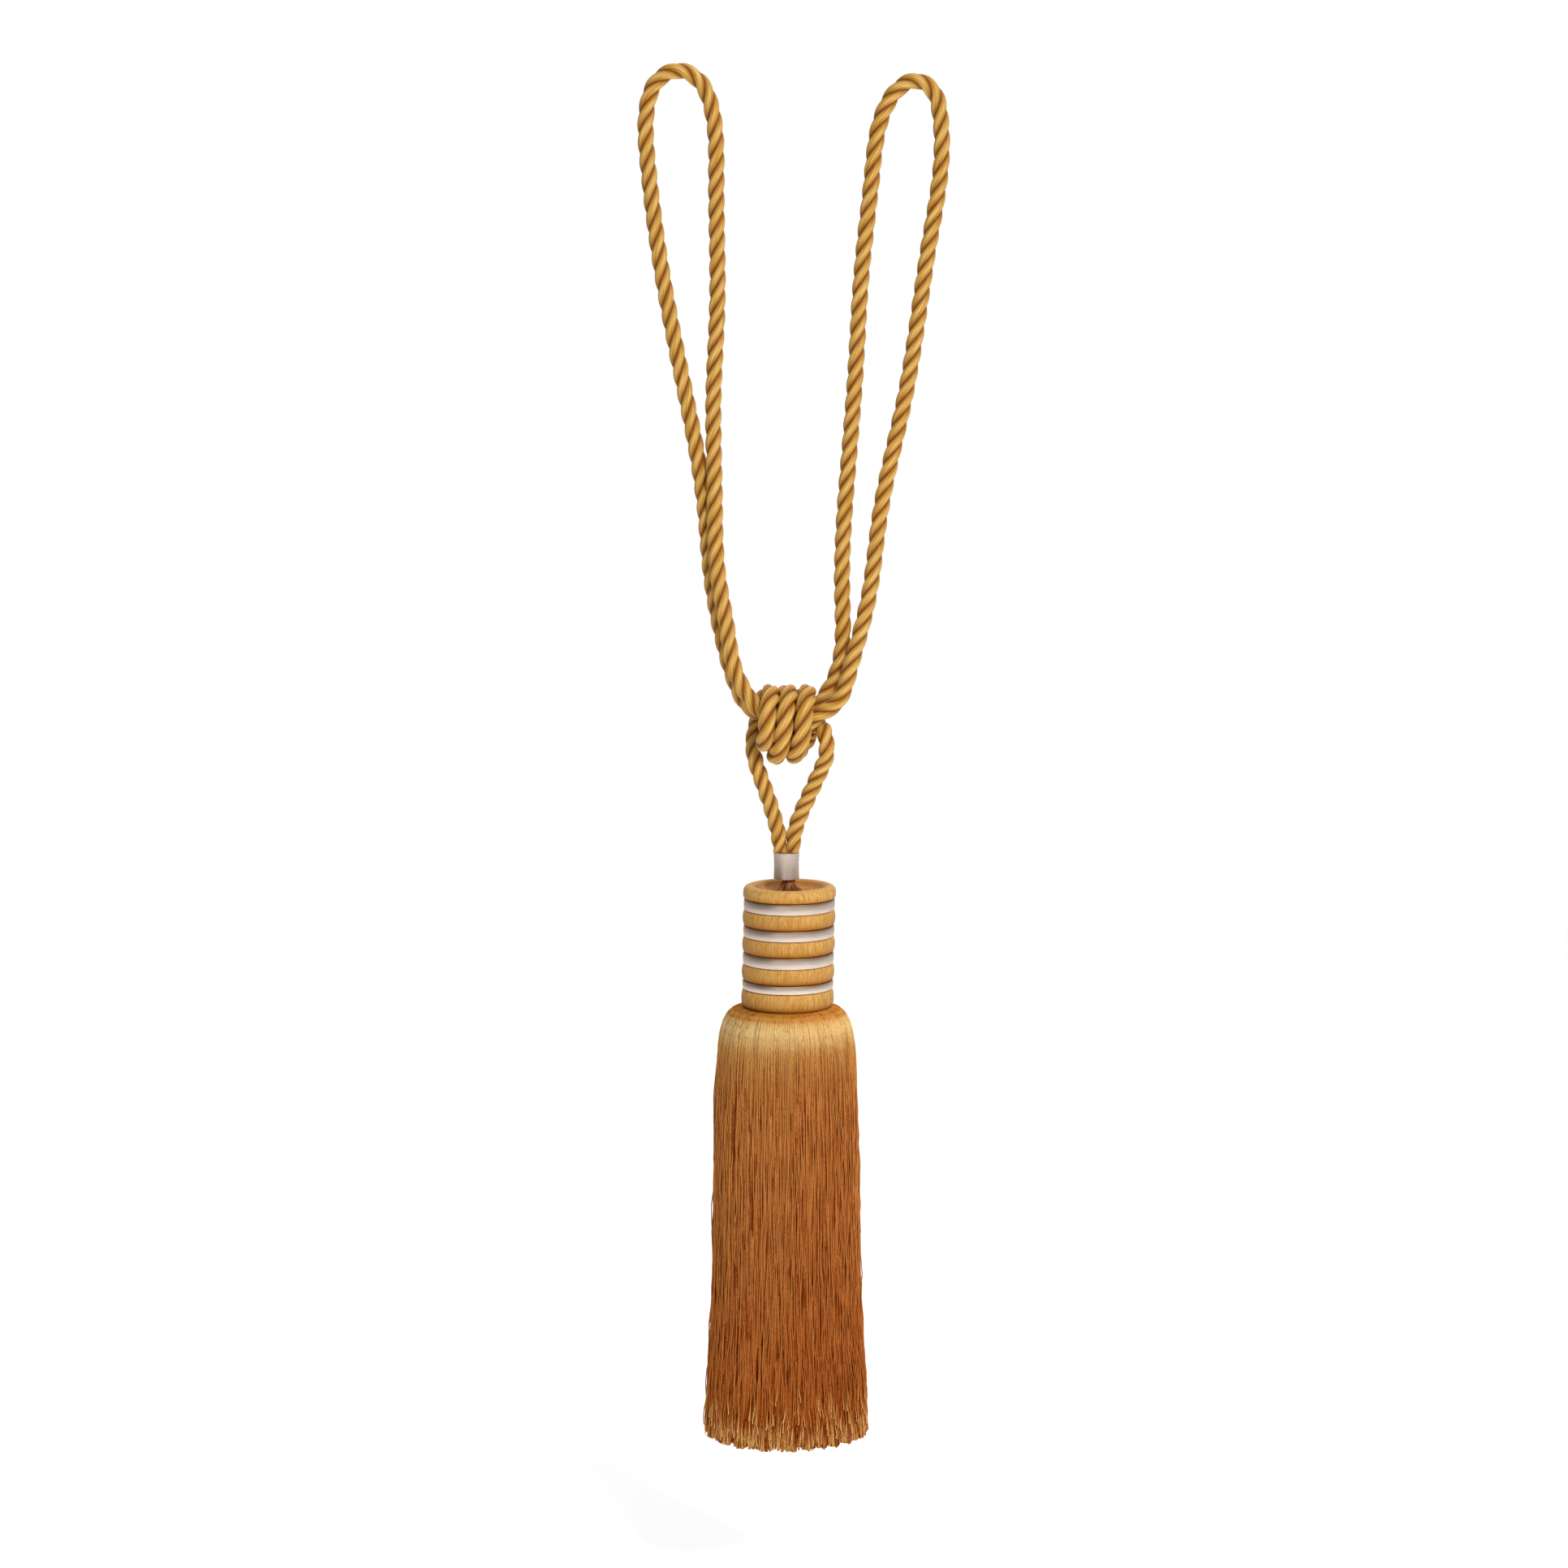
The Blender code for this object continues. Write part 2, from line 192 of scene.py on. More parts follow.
FIBRE_OCTAVES = (2.0, 0.6)    # octaves and roughness of the fibres' noise
FINE_RATE = 2.7               # how much finer the fibres' second noise is
FINE_SHARE = 0.5              # and how high, against the first
SHEEN_ROUGHNESS = 0.4
NECK_LINE = (                 # yarn ends from under the collar out into the recess
    Turn(3.9, -491.2), Turn(4.1, -494.0), Turn(5.6, -496.4), Turn(8.8, -498.2),
    Turn(12.6, -499.0),
)
SKIRT_LINE = (                # the outermost strand, from under the head to its tip
    Turn(24.0, -571.0), Turn(28.5, -571.2), Turn(33.2, -572.6), Turn(37.2, -577.0),
    Turn(39.7, -583.6), Turn(41.7, -601.0), Turn(43.4, -652.0), Turn(44.1, -693.0),
    Turn(44.9, -735.0), Turn(46.8, -780.0), Turn(48.3, -805.0), Turn(49.9, -838.0),
)
LEG_END = -475.4              # where the rope legs enter the collar
LOOP_ROUTE = (
    # first end, tucked into the knot
    At(0.0, -5.0, -392.4), At(-8.0, -5.0, -391.9), At(-16.0, -5.0, -389.2),
    # left loop, inner leg, upwards
    At(-22.4, -5.0, -381.6), At(-30.0, -5.0, -368.5), At(-36.6, -5.0, -338.0),
    At(-41.8, -4.9, -307.0), At(-43.8, -4.0, -262.0), At(-44.5, -1.0, -198.0),
    At(-42.2, 0.0, -145.0), At(-42.6, 0.0, -70.0),
    # left crown
    At(-45.9, 0.0, -25.0), At(-52.2, 0.0, -11.8), At(-64.9, 0.0, -5.2),
    At(-77.8, 0.0, -11.6), At(-83.5, 0.0, -25.5),
    # left loop, outer leg, downwards
    At(-83.6, 0.0, -58.0), At(-76.4, 0.0, -117.0), At(-62.9, 1.0, -190.0),
    At(-49.9, 4.0, -267.0), At(-46.1, 5.0, -309.0), At(-39.1, 5.0, -347.0),
    At(-30.6, 5.0, -375.6),
    # through the knot, at the back
    At(-22.5, 5.0, -388.2), At(-12.0, 5.0, -392.6), At(0.0, 5.0, -393.4),
    At(12.2, 5.0, -391.2), At(19.7, 5.0, -384.4),
    # right loop, inner leg, upwards
    At(28.8, 4.9, -369.0), At(32.9, 1.6, -319.0), At(36.4, 0.0, -240.0),
    At(40.9, 0.0, -180.0), At(44.2, 0.0, -125.0), At(50.4, 0.0, -66.0),
    # right crown
    At(58.4, 0.0, -26.5), At(65.4, 0.0, -16.4), At(75.8, 0.0, -11.2),
    At(86.2, 0.0, -16.8), At(90.5, 0.0, -29.5),
    # right loop, outer leg, downwards
    At(91.7, 0.0, -56.0), At(84.8, 0.0, -106.0), At(70.4, 0.0, -199.0),
    At(55.6, 0.0, -270.0), At(48.8, -1.4, -320.0), At(36.9, -4.8, -366.0),
    # into the knot again, below the first end
    At(28.2, -5.0, -385.0), At(18.2, -5.0, -391.4), At(9.0, -3.0, -399.0),
    At(-3.5, 0.0, -403.2),
)
HANGER_ROUTE = (
    # left leg, up from the collar
    At(-4.75, 0.0, LEG_END), At(-5.4, 0.0, -466.5), At(-7.6, 0.0, -456.6),
    At(-11.4, 0.6, -444.0), At(-16.2, 2.0, -430.5), At(-19.6, 4.5, -420.0),
    At(-20.9, 8.5, -412.0), At(-20.1, 13.5, -404.0),
    # up behind the knot and over its top
    At(-18.2, 16.4, -395.6), At(-15.2, 12.6, -383.5),
    # first turn: top, front, bottom, back
    At(-10.2, 0.0, -378.3), At(-11.2, -12.5, -383.6), At(-12.6, -16.6, -397.0),
    At(-13.7, -11.0, -406.2), At(-13.8, -1.0, -408.3), At(-11.4, 8.0, -406.6),
    At(-8.6, 14.6, -401.4), At(-7.0, 16.6, -394.0), At(-4.0, 11.8, -382.9),
    # second turn
    At(0.8, 0.0, -378.3), At(-0.4, -12.5, -383.6), At(-2.2, -16.6, -397.4),
    At(-5.0, -12.5, -411.2), At(-7.2, 0.5, -416.5), At(-2.0, 12.6, -411.3),
    At(3.6, 16.6, -396.6), At(7.2, 12.3, -383.6),
    # third turn
    At(11.9, 0.0, -378.3), At(10.7, -12.5, -383.6), At(9.2, -16.6, -397.4),
    At(6.0, -12.5, -411.2), At(3.9, 0.5, -416.5), At(8.4, 11.0, -413.8),
    # out at the back, over to the front and down the right leg
    At(12.6, 15.6, -407.8), At(16.0, 12.6, -400.9), At(19.6, 5.8, -398.4),
    At(22.4, -0.2, -402.4), At(23.6, -2.4, -409.8), At(23.1, -1.9, -417.2),
    At(20.0, -0.6, -425.4), At(15.6, 0.0, -435.0), At(9.9, 0.0, -447.6),
    At(5.9, 0.0, -457.4), At(3.7, 0.0, -466.5), At(3.25, 0.0, LEG_END),
)


# ---------------------------------------------------------------- node building


def find(sockets: bpy.types.bpy_prop_collection, key: str | int) -> bpy.types.NodeSocket:
    """Return a socket by its number or its name, or by its identifier where names repeat."""
    if isinstance(key, int) or key in sockets:
        return sockets[key]
    return next(socket for socket in sockets if socket.identifier == key)


def operator(operation: str, swapped: bool = False) -> Callable[[Wire, Feed], Wire]:
    """Return a method that joins two values by a math node.

    Args:
        operation: What the node does.
        swapped: Whether the other value comes first.

    Returns:
        The method, for a wire.
    """
    def method(self: Wire, other: Feed) -> Wire:
        """Return the two values joined."""
        return self.net.math(operation, *((other, self) if swapped else (self, other)))
    return method


class Wire:
    """A node's output that takes part in sums as a number does."""

    def __init__(self, net: Net, socket: bpy.types.NodeSocket) -> None:
        """Keep the output and the net that it is in."""
        self.net, self.socket = net, socket

    __add__, __radd__ = operator("ADD"), operator("ADD", True)
    __sub__, __rsub__ = operator("SUBTRACT"), operator("SUBTRACT", True)
    __mul__, __rmul__ = operator("MULTIPLY"), operator("MULTIPLY", True)
    __truediv__, __rtruediv__ = operator("DIVIDE"), operator("DIVIDE", True)
    __pow__ = operator("POWER")


class Net:
    """A node tree being drawn up, with short ways to add and join its nodes."""

    def __init__(self, tree: bpy.types.NodeTree) -> None:
        """Keep the tree that the nodes go into."""
        self.tree = tree

    def feed(self, node: bpy.types.Node, feeds: dict) -> None:
        """Join a node's inputs to other outputs, or set their plain values.

        Args:
            node: The node that is fed.
            feeds: Wires or values, by the inputs' names or numbers.
        """
        for key, value in feeds.items():
            if isinstance(value, Wire):
                self.tree.links.new(value.socket, find(node.inputs, key))
            else:
                find(node.inputs, key).default_value = value

    def add(self, kind: str, feeds: dict | None = None, **settings: object) -> bpy.types.Node:
        """Add a node.

        Args:
            kind: Blender's type name of the node.
            feeds: Wires or values for its inputs, by name or number.
            settings: Properties of the node.

        Returns:
            The new node.
        """
        node = self.tree.nodes.new(kind)
        for key, value in settings.items():
            setattr(node, key, value)
        self.feed(node, feeds or {})
        return node

    def out(self, kind: str, feeds: dict | None = None, output: str | int = 0,
            **settings: object) -> Wire:
        """Add a node as add does, and return one of its outputs."""
        return Wire(self, find(self.add(kind, feeds, **settings).outputs, output))

    def math(self, operation: str, *feeds: Feed) -> Wire:
        """Return the result of a math node."""
        return self.out("ShaderNodeMath", dict(enumerate(feeds)), operation=operation)

    def vector(self, operation: str, *feeds: Feed) -> Wire:
        """Return the result of a vector math node."""
        return self.out("ShaderNodeVectorMath", dict(enumerate(feeds)), operation=operation)

    def circle(self, angle: Wire) -> tuple[Wire, Wire]:
        """Return an angle's cosine and sine."""
        return self.math("COSINE", angle), self.math("SINE", angle)

    def blend(self, share: Feed, first: Feed, second: Feed) -> Wire:
        """Return a colour between two others."""
        feeds = {"Factor_Float": share, "A_Color": first, "B_Color": second}
        return self.out("ShaderNodeMix", feeds, "Result_Color", data_type="RGBA",
                        clamp_factor=True)

    def combine(self, *values: Feed) -> Wire:
        """Return a vector made of three values."""
        return self.out("ShaderNodeCombineXYZ", dict(enumerate(values)))

    def split(self, vector: Wire) -> list[Wire]:
        """Return a vector's three values."""
        node = self.add("ShaderNodeSeparateXYZ", {0: vector})
        return [Wire(self, socket) for socket in node.outputs]

    def remap(self, value: Feed, source: tuple, target: tuple = (0.0, 1.0),
              ease: Ease = Ease.EVEN) -> Wire:
        """Return a value carried from one range to another, held inside the second.

        Args:
            value: What is carried over.
            source: Two limits of the first range, plain values or wires.
            target: Two limits of the second range.
            ease: The way from one limit to the other.

        Returns:
            The result.
        """
        feeds = dict(enumerate((value, *source, *target)))
        return self.out("ShaderNodeMapRange", feeds, interpolation_type=ease.value)

    def noise(self, place: Feed, scale: Feed, detail: float = 1.0, rough: float = 0.5) -> Wire:
        """Return a noise value from 0 to 1 at a place."""
        feeds = {"Vector": place, "Scale": scale, "Detail": detail, "Roughness": rough}
        return self.out("ShaderNodeTexNoise", feeds, "Fac")

    def both_ways(self, place: Feed, scale: Feed, *octaves: float) -> Wire:
        """Return a noise value from -1 to 1 at a place."""
        return self.noise(place, scale, *octaves) * 2.0 - 1.0

    def drawn_lot(self, number: Wire) -> Wire:
        """Return a random value from 0 to 1 that goes with a number."""
        return self.out("ShaderNodeTexWhiteNoise", {"W": number}, "Value",
                        noise_dimensions="1D")


class Group(Net):
    """A node group with named inputs and outputs."""

    def __init__(self, name: str, kind: NetKind) -> None:
        """Start an empty group of geometry or shader nodes."""
        super().__init__(bpy.data.node_groups.new(name, kind.value))
        self.entry = self.tree.nodes.new("NodeGroupInput")
        self.exit = self.tree.nodes.new("NodeGroupOutput")

    def take(self, kind: Sock, *names: str) -> list[Wire]:
        """Declare named inputs of one kind and return them as they are inside the group."""
        socket_type, subtype = kind.value
        for name in names:
            item = self.tree.interface.new_socket(name, in_out="INPUT", socket_type=socket_type)
            if subtype:
                item.subtype = subtype
        return [Wire(self, self.entry.outputs[name]) for name in names]

    def give(self, name: str, kind: Sock, source: Wire) -> None:
        """Declare a named output and feed it."""
        self.tree.interface.new_socket(name, in_out="OUTPUT", socket_type=kind.value[0])
        self.feed(self.exit, {name: source})


class GeometryGroup(Group):
    """A geometry node tree that ends in plain, smooth, dressed faces."""

    def __init__(self, name: str) -> None:
        """Start a tree whose first input is the piece's own outline or route."""
        super().__init__(name, NetKind.GEOMETRY)
        self.outline, = self.take(Sock.GEOMETRY, "Geometry")

    def attribute(self, name: str, kind: str = "FLOAT") -> Wire:
        """Return the values of a named attribute."""
        return self.out("GeometryNodeInputNamedAttribute", {"Name": name}, "Attribute",
                        data_type=kind)

    def store(self, shape: Wire, name: str, value: Wire, kind: str = "FLOAT") -> Wire:
        """Return the shape with a value kept at each point under a name."""
        feeds = {"Name": name, "Geometry": shape, "Value": value}
        return self.out("GeometryNodeStoreNamedAttribute", feeds, data_type=kind, domain="POINT")

    def move(self, shape: Wire, **feeds: Wire) -> Wire:
        """Return the shape with its points set to a Position, or moved by an Offset."""
        return self.out("GeometryNodeSetPosition", {"Geometry": shape, **feeds})

    def capture(self, shape: Wire, name: str, value: Wire, kind: str = "FLOAT") -> list[Wire]:
        """Return the shape, and a value as it is now at each of its points."""
        node = self.add("GeometryNodeCaptureAttribute", {"Geometry": shape}, domain="POINT")
        node.capture_items.new(kind, name)
        self.feed(node, {name: value})
        return [Wire(self, node.outputs[key]) for key in ("Geometry", name)]

    def sample(self, shape: Wire, value: Wire, index: Wire, kind: str = "FLOAT") -> Wire:
        """Return a shape's own value at one of its points, found by the point's number."""
        feeds = {"Geometry": shape, "Value": value, "Index": index}
        return self.out("GeometryNodeSampleIndex", feeds, data_type=kind, domain="POINT")

    def chance(self, low: float, high: float, seed: Wire, salt: int) -> Wire:
        """Return an even random value for each element.

        Args:
            low: Least value.
            high: Greatest value.
            seed: The piece's seed.
            salt: A number that keeps this draw apart from the others.

        Returns:
            The values.
        """
        feeds = {"Min_001": low, "Max_001": high, "Seed": seed + salt}
        return self.out("FunctionNodeRandomValue", feeds, "Value_001", data_type="FLOAT")

    def sweep(self, line: Wire, profile: Wire, tilt: Feed, **feeds: Wire) -> Wire:
        """Return a profile swept along tilted lines, closed at both ends."""
        line = self.out("GeometryNodeSetCurveTilt", {"Curve": line, "Tilt": tilt})
        feeds = {"Curve": line, "Profile Curve": profile, "Fill Caps": True, **feeds}
        return self.out("GeometryNodeCurveToMesh", feeds)

    def finish(self, shape: Wire) -> bpy.types.NodeTree:
        """Close the tree with smooth faces, real copies and the piece's material."""
        material, = self.take(Sock.MATERIAL, "Material")
        shape = self.out("GeometryNodeSetShadeSmooth", {"Geometry": shape})
        shape = self.out("GeometryNodeRealizeInstances", {"Geometry": shape})
        shape = self.out("GeometryNodeSetMaterial", {"Geometry": shape, "Material": material})
        self.give("Geometry", Sock.GEOMETRY, shape)
        return self.tree


# ---------------------------------------------------------------- geometry node trees


def laid_rope_tree() -> bpy.types.NodeTree:
    """Build the tree that lays a rope's strands along a route.

    Returns:
        The tree, for a modifier on the route's line.
    """
    net = GeometryGroup("laid_rope")
    ring_step, lead, knot_lead, strand_offset, strand_radius, taper = net.take(
        Sock.LENGTH, "Ring Step", "Lead", "Knot Lead", "Strand Offset", "Strand Radius", "Taper")
    half_arc, yarn_turn, end_scale, knot_start, knot_end, swell = net.take(
        Sock.FLOAT, "Half Arc", "Yarn Turn", "End Scale", "Knot Start", "Knot End", "Swell")
    points, = net.take(Sock.INT, "Ridge Points")

    # the outline across the rope: an arc for each strand
    ring = net.out("GeometryNodeCurvePrimitiveCircle", {"Resolution": points * ROPE_STRANDS})
    place = net.out("GeometryNodeInputIndex") / points
    strand = net.math("FLOOR", place)
    centre = strand * (FULL_TURN / ROPE_STRANDS)
    aside = (place - strand) * 2.0 - 1.0
    swing = aside * half_arc
    across = [own * strand_offset + leaning * strand_radius
              for own, leaning in zip(net.circle(centre), net.circle(centre + swing))]
    ring, yarn_place = net.capture(
        ring, "yarn", net.combine(swing * strand_radius, strand, aside), "VECTOR")
    ring = net.move(ring, Position=net.combine(*across, 0.0))

    # the route, with the lay's twist and the ends drawn in
    line = net.out("GeometryNodeMeshToCurve", {"Mesh": net.outline})
    line = net.out("GeometryNodeResampleCurve", {"Curve": line, "Length": ring_step},
                   mode="LENGTH")
    run = net.out("GeometryNodeSplineParameter", output="Length")
    whole = net.out("GeometryNodeSplineLength", output="Length")
    to_end = net.math("MINIMUM", run, whole - run)
    from_knot = net.math("MINIMUM", run - knot_start, knot_end - run)
    squeeze = (net.remap(to_end, (0.0, taper), (end_scale, 1.0), Ease.SMOOTH)
               * net.remap(from_knot, (0.0, KNOT_EASE * MM), (1.0, swell), Ease.SMOOTH))
    line, run = net.capture(line, "run", run)
    inside = net.math("MINIMUM", net.math("MAXIMUM", run - knot_start, 0.0),
                      knot_end - knot_start)
    twist = ((run - inside) / lead + inside / knot_lead) * FULL_TURN
    swept = net.sweep(line, ring, twist, Scale=squeeze)
    yarn_across, strand, aside = net.split(yarn_place)
    swept = net.store(swept, LAY, net.combine(run * yarn_turn + yarn_across,
                                              strand * STRAND_SPACING, run), "FLOAT_VECTOR")
    # painted shade: darker from each strand's crest towards the grooves between strands
    return net.finish(net.store(swept, SHADE, net.math("ABSOLUTE", aside) ** GROOVE_POWER))


def turned_cover_tree() -> bpy.types.NodeTree:
    """Build the tree that turns an outline and covers it with thread.

    Returns:
        The tree, for a modifier on an outline in the XZ plane with its run at each point.
    """
    net = GeometryGroup("turned_cover")
    ridge, ridge_radius, uneven, middle_x = net.take(
        Sock.LENGTH, "Ridge", "Ridge Radius", "Uneven", "Middle X")
    round_count, run_count, lumps, lean = net.take(
        Sock.FLOAT, "Threads Round", "Threads per Metre", "Lumps", "Lean")
    columns, seed = net.take(Sock.INT, "Columns", "Seed")

    rows = net.out("GeometryNodeAttributeDomainSize", {0: net.outline}, "Point Count")
    grid = net.out("GeometryNodeMeshGrid", {
        "Size X": 1.0, "Size Y": 1.0, "Vertices X": rows, "Vertices Y": columns + 1.0})
    here = net.out("GeometryNodeInputPosition")
    grid_x, grid_y, _ = net.split(here)
    grid, round_share = net.capture(grid, "share", grid_y + 0.5)
    row = net.math("ROUND", (grid_x + 0.5) * (rows - 1.0))
    # each row's run, and its painted shade from the outline
    run, shade = (net.sample(net.outline, net.attribute(name), row) for name in ("run", SHADE))
    grid, run = net.capture(grid, "run", run)
    grid, shade = net.capture(grid, "deep", shade)
    spot = net.sample(net.outline, here, row, "FLOAT_VECTOR")
    grid, spot = net.capture(grid, "spot", spot, "VECTOR")
    radius, _, height = net.split(spot)
    cosine, sine = net.circle(round_share * FULL_TURN)
    turned_x = height * lean + (radius * cosine + middle_x)
    shape = net.move(grid, Position=net.combine(turned_x, radius * sine, height))
    shape = net.out("GeometryNodeMergeByDistance", {"Geometry": shape, "Distance": SEAM_REACH})

    # threads as ridges, and slow lumps from uneven winding
    thread = round_share * round_count + run * run_count
    slim = net.remap(radius, (0.0, ridge_radius))
    raised = net.math("COSINE", thread * FULL_TURN) * ridge * slim
    raised = net.both_ways(here, lumps, 2.0) * (uneven * slim) + raised
    normal = net.out("GeometryNodeInputNormal", output="Normal")
    shape = net.move(shape, Offset=net.out(
        "ShaderNodeVectorMath", {0: normal, "Scale": raised}, operation="SCALE"))
    lay = net.combine(cosine * radius, sine * radius, run)
    shape = net.store(shape, LAY, lay, "FLOAT_VECTOR")
    shape = net.store(shape, SHADE, shade)
    tone = net.math("FRACT", net.drawn_lot(net.math("ROUND", thread)) + seed * SEED_TONE)
    return net.finish(net.store(shape, TONE, tone))


def hanging_strands_tree() -> bpy.types.NodeTree:
    """Build the tree that hangs strands round the middle line.

    Returns:
        The tree, for a modifier on the outermost strand's line, from its root to its tip.
    """
    net = GeometryGroup("hanging_strands")
    thickness, uneven, sway, furrow, wander, clump_depth, middle_x = net.take(
        Sock.LENGTH, "Thickness", "Uneven", "Sway", "Furrow", "Wander", "Clump Depth", "Middle X")
    first_depth, last_depth, locks, bends, slack, clumps, pull, least, buried, gap_shade = net.take(
        Sock.FLOAT, "First Depth", "Last Depth", "Locks", "Bends", "Slack", "Clumps", "Pull",
        "Least Tone", "Buried", "Gap Shade")
    count, segments, seed = net.take(Sock.INT, "Count", "Segments", "Seed")

    # one point for each strand, with what is its own
    cloud = net.out("GeometryNodePoints", {"Count": count})
    place = net.out("GeometryNodeInputIndex") + net.chance(-0.5, 0.5, seed, 1)
    cloud = net.store(cloud, "bearing", place / count * FULL_TURN)
    for salt, name in enumerate(("inward", TONE, "own", "cut"), start=2):
        cloud = net.store(cloud, name, net.chance(0.0, 1.0, seed, salt))
    line = net.out("GeometryNodeCurvePrimitiveLine")
    line = net.out("GeometryNodeResampleCurve", {"Curve": line, "Count": segments + 1.0},
                   mode="COUNT")
    hair = net.out("GeometryNodeInstanceOnPoints", {"Points": cloud, "Instance": line})
    hair = net.out("GeometryNodeRealizeInstances", {"Geometry": hair})

    # share of the fall, with more bends at the root and at the tip
    step = net.out("GeometryNodeSplineParameter", output="Factor")
    crowd = net.math("SINE", step * FULL_TURN)
    hair = net.store(hair, FALL, crowd * (-END_CROWDING / FULL_TURN) + step)
    fall, own, inward, bearing, cut = (
        net.attribute(name) for name in (FALL, "own", "inward", "bearing", "cut"))
    outline = net.out("GeometryNodeMeshToCurve", {"Mesh": net.outline})
    length = net.out("GeometryNodeCurveLength", {"Curve": outline})
    lumps_x, lumps_y = (way * TIP_LUMPS for way in net.circle(bearing))
    tips = net.remap(net.noise(net.combine(lumps_x, lumps_y, 0.0), 1.0), TIP_LIMITS)
    cut = ((cut + tips) * 0.5) ** CUT_POWER
    spot = net.out("GeometryNodeSampleCurve",
                   {"Curves": outline, "Factor": fall * (1.0 - cut * uneven / length)},
                   "Position", mode="FACTOR")
    radius, _, height = net.split(spot)

    # clumps: a few neighbours lie together, change over slowly, and are set in or out
    slide = net.noise(net.combine(own * CLUMPS_APART, 0.0, fall * CLUMP_CHANGES), 1.0)
    clump_place = bearing * (clumps / FULL_TURN) + slide * CLUMP_REACH
    off_middle = net.math("FRACT", clump_place) - 0.5
    clump_lot = net.drawn_lot(net.math("FLOOR", clump_place) + seed)
    rooted = net.remap(fall, ROOT_SHARES, ease=Ease.SMOOTH)
    bearing = bearing - off_middle * pull * (FULL_TURN / clumps) * rooted
    # painted shade on the outer strands of each clump, where shade falls between clumps
    edge = net.remap(net.math("ABSOLUTE", off_middle), CLUMP_EDGE)

    # locks: slow noise round the skirt draws neighbours together and sets them in or out
    cosine, sine = net.circle(bearing)
    around = net.combine(cosine * locks, sine * locks, fall * bends)
    alone = net.combine(own * WAVES_APART, fall * bends, seed)
    aside = net.both_ways(around, 1.0, 2.0) * sway + net.both_ways(alone, 1.0, *CRIMP) * wander
    aside = aside * fall ** slack
    share_in = inward * (last_depth - first_depth) + first_depth
    share_in = share_in * (rooted * (1.0 - ROOT_CLOSENESS) + ROOT_CLOSENESS)
    outward = (net.both_ways(around, LIFT_RATE, 1.0) * furrow
               + net.both_ways(alone, STRAY_RATE) * (wander * STRAY_SHARE))
    radius = (outward - clump_lot * clump_depth) * rooted + radius * (1.0 - share_in)
    hair = net.move(hair, Position=net.combine(
        radius * cosine - aside * sine + middle_x, aside * cosine + radius * sine, height))
    section = net.out("GeometryNodeCurvePrimitiveCircle",
                      {"Resolution": STRAND_SIDES, "Radius": thickness / 2.0})
    swept = net.sweep(hair, section, FLAT_OUT)

    # what the finish reads: the yarn's own place, its tone, and its painted shade for buried strands,
    # clumps' edges and dark gaps
    swept = net.store(swept, LAY, net.combine(own * FIBRES_APART, share_in, fall * length),
                      "FLOAT_VECTOR")
    spot = net.out("GeometryNodeInputPosition")
    patches, gap_noise = (
        net.noise(net.vector("MULTIPLY", spot, (across, across, down)), 1.0)
        for across, down in (PATCH_RATES, GAP_RATES)
    )
    tone = clump_lot * -CLUMP_TONE + CLUMP_TONE
    tone = net.attribute(TONE) * (1.0 - CLUMP_TONE - PATCH_TONE) + tone
    tone = net.remap(patches, PATCH_LIMITS) * PATCH_TONE + tone
    tone = net.math("MAXIMUM", net.remap(tone, TONE_LIMITS), least)
    swept = net.store(swept, TONE, tone)
    # painted shade: dark gaps from noise and along clumps' edges, and buried strands darker
    gap_shadow = net.remap(gap_noise, GAP_LIMITS, (0.0, gap_shade), Ease.SMOOTH)
    gap_shadow = rooted * (edge * clump_lot * gap_shade + gap_shadow)
    deep = net.remap(share_in, (0.0, buried), (0.0, BURIED_SHADE)) + gap_shadow
    return net.finish(net.store(swept, SHADE, deep))


class Trees:
    """The geometry node trees, each built once."""

    def __init__(self) -> None:
        """Build every tree."""
        self.rope = laid_rope_tree()
        self.cover = turned_cover_tree()
        self.strands = hanging_strands_tree()


def run_tree(name: str, mesh: bpy.types.Mesh, tree: bpy.types.NodeTree,
             values: dict) -> bpy.types.Object:
    """Run a geometry node tree over a mesh and keep the result as a plain mesh object.

    Args:
        name: Name of the new piece.
        mesh: The piece's outline or route.
        tree: The tree that works on it.
        values: What the tree's inputs take, by their names as field names; lengths are
            in millimetres.

    Returns:
        The new object, with no modifier on it.
    """
    source = bpy.data.objects.new(name + "_line", mesh)
    bpy.context.scene.collection.objects.link(source)
    modifier = source.modifiers.new("made", "NODES")
    modifier.node_group = tree
    for item in tree.interface.items_tree:
        field = item.name.lower().replace(" ", "_")
        if item.in_out == "INPUT" and field in values:
            is_length = getattr(item, "subtype", "") == Sock.LENGTH.value[1]
            modifier[item.identifier] = values[field] * MM if is_length else values[field]
    graph = bpy.context.evaluated_depsgraph_get()
    made = bpy.data.meshes.new_from_object(
        source.evaluated_get(graph), preserve_all_data_layers=True, depsgraph=graph
    )
    source.modifiers.remove(modifier)
    bpy.data.objects.remove(source, do_unlink=True)
    bpy.data.meshes.remove(mesh)
    made.name = name
    piece = bpy.data.objects.new(name, made)
    bpy.context.scene.collection.objects.link(piece)
    return piece


def line_mesh(name: str, points: np.ndarray, shades: Iterable[float] = ()) -> bpy.types.Mesh:
    """Return a mesh of one open line, with the run from its start kept at each point.

    Args:
        name: Name of the mesh.
        points: Points in metres, one row each.
        shades: Painted shade at each point, or nothing.

    Returns:
        The mesh, with edges only.
    """
    mesh = bpy.data.meshes.new(name + "_line")
    edges = [(number, number + 1) for number in range(len(points) - 1)]
    mesh.from_pydata([tuple(point) for point in points], edges, [])
    steps = np.linalg.norm(np.diff(points, axis=0), axis=1)
    run = mesh.attributes.new("run", "FLOAT", "POINT")
    run.data.foreach_set("value", np.concatenate([[0.0], np.cumsum(steps)]).astype(np.float32))
    for number, shade in enumerate(shades):
        if number == 0:
            deep = mesh.attributes.new(SHADE, "FLOAT", "POINT")
        deep.data[number].value = shade
    return mesh


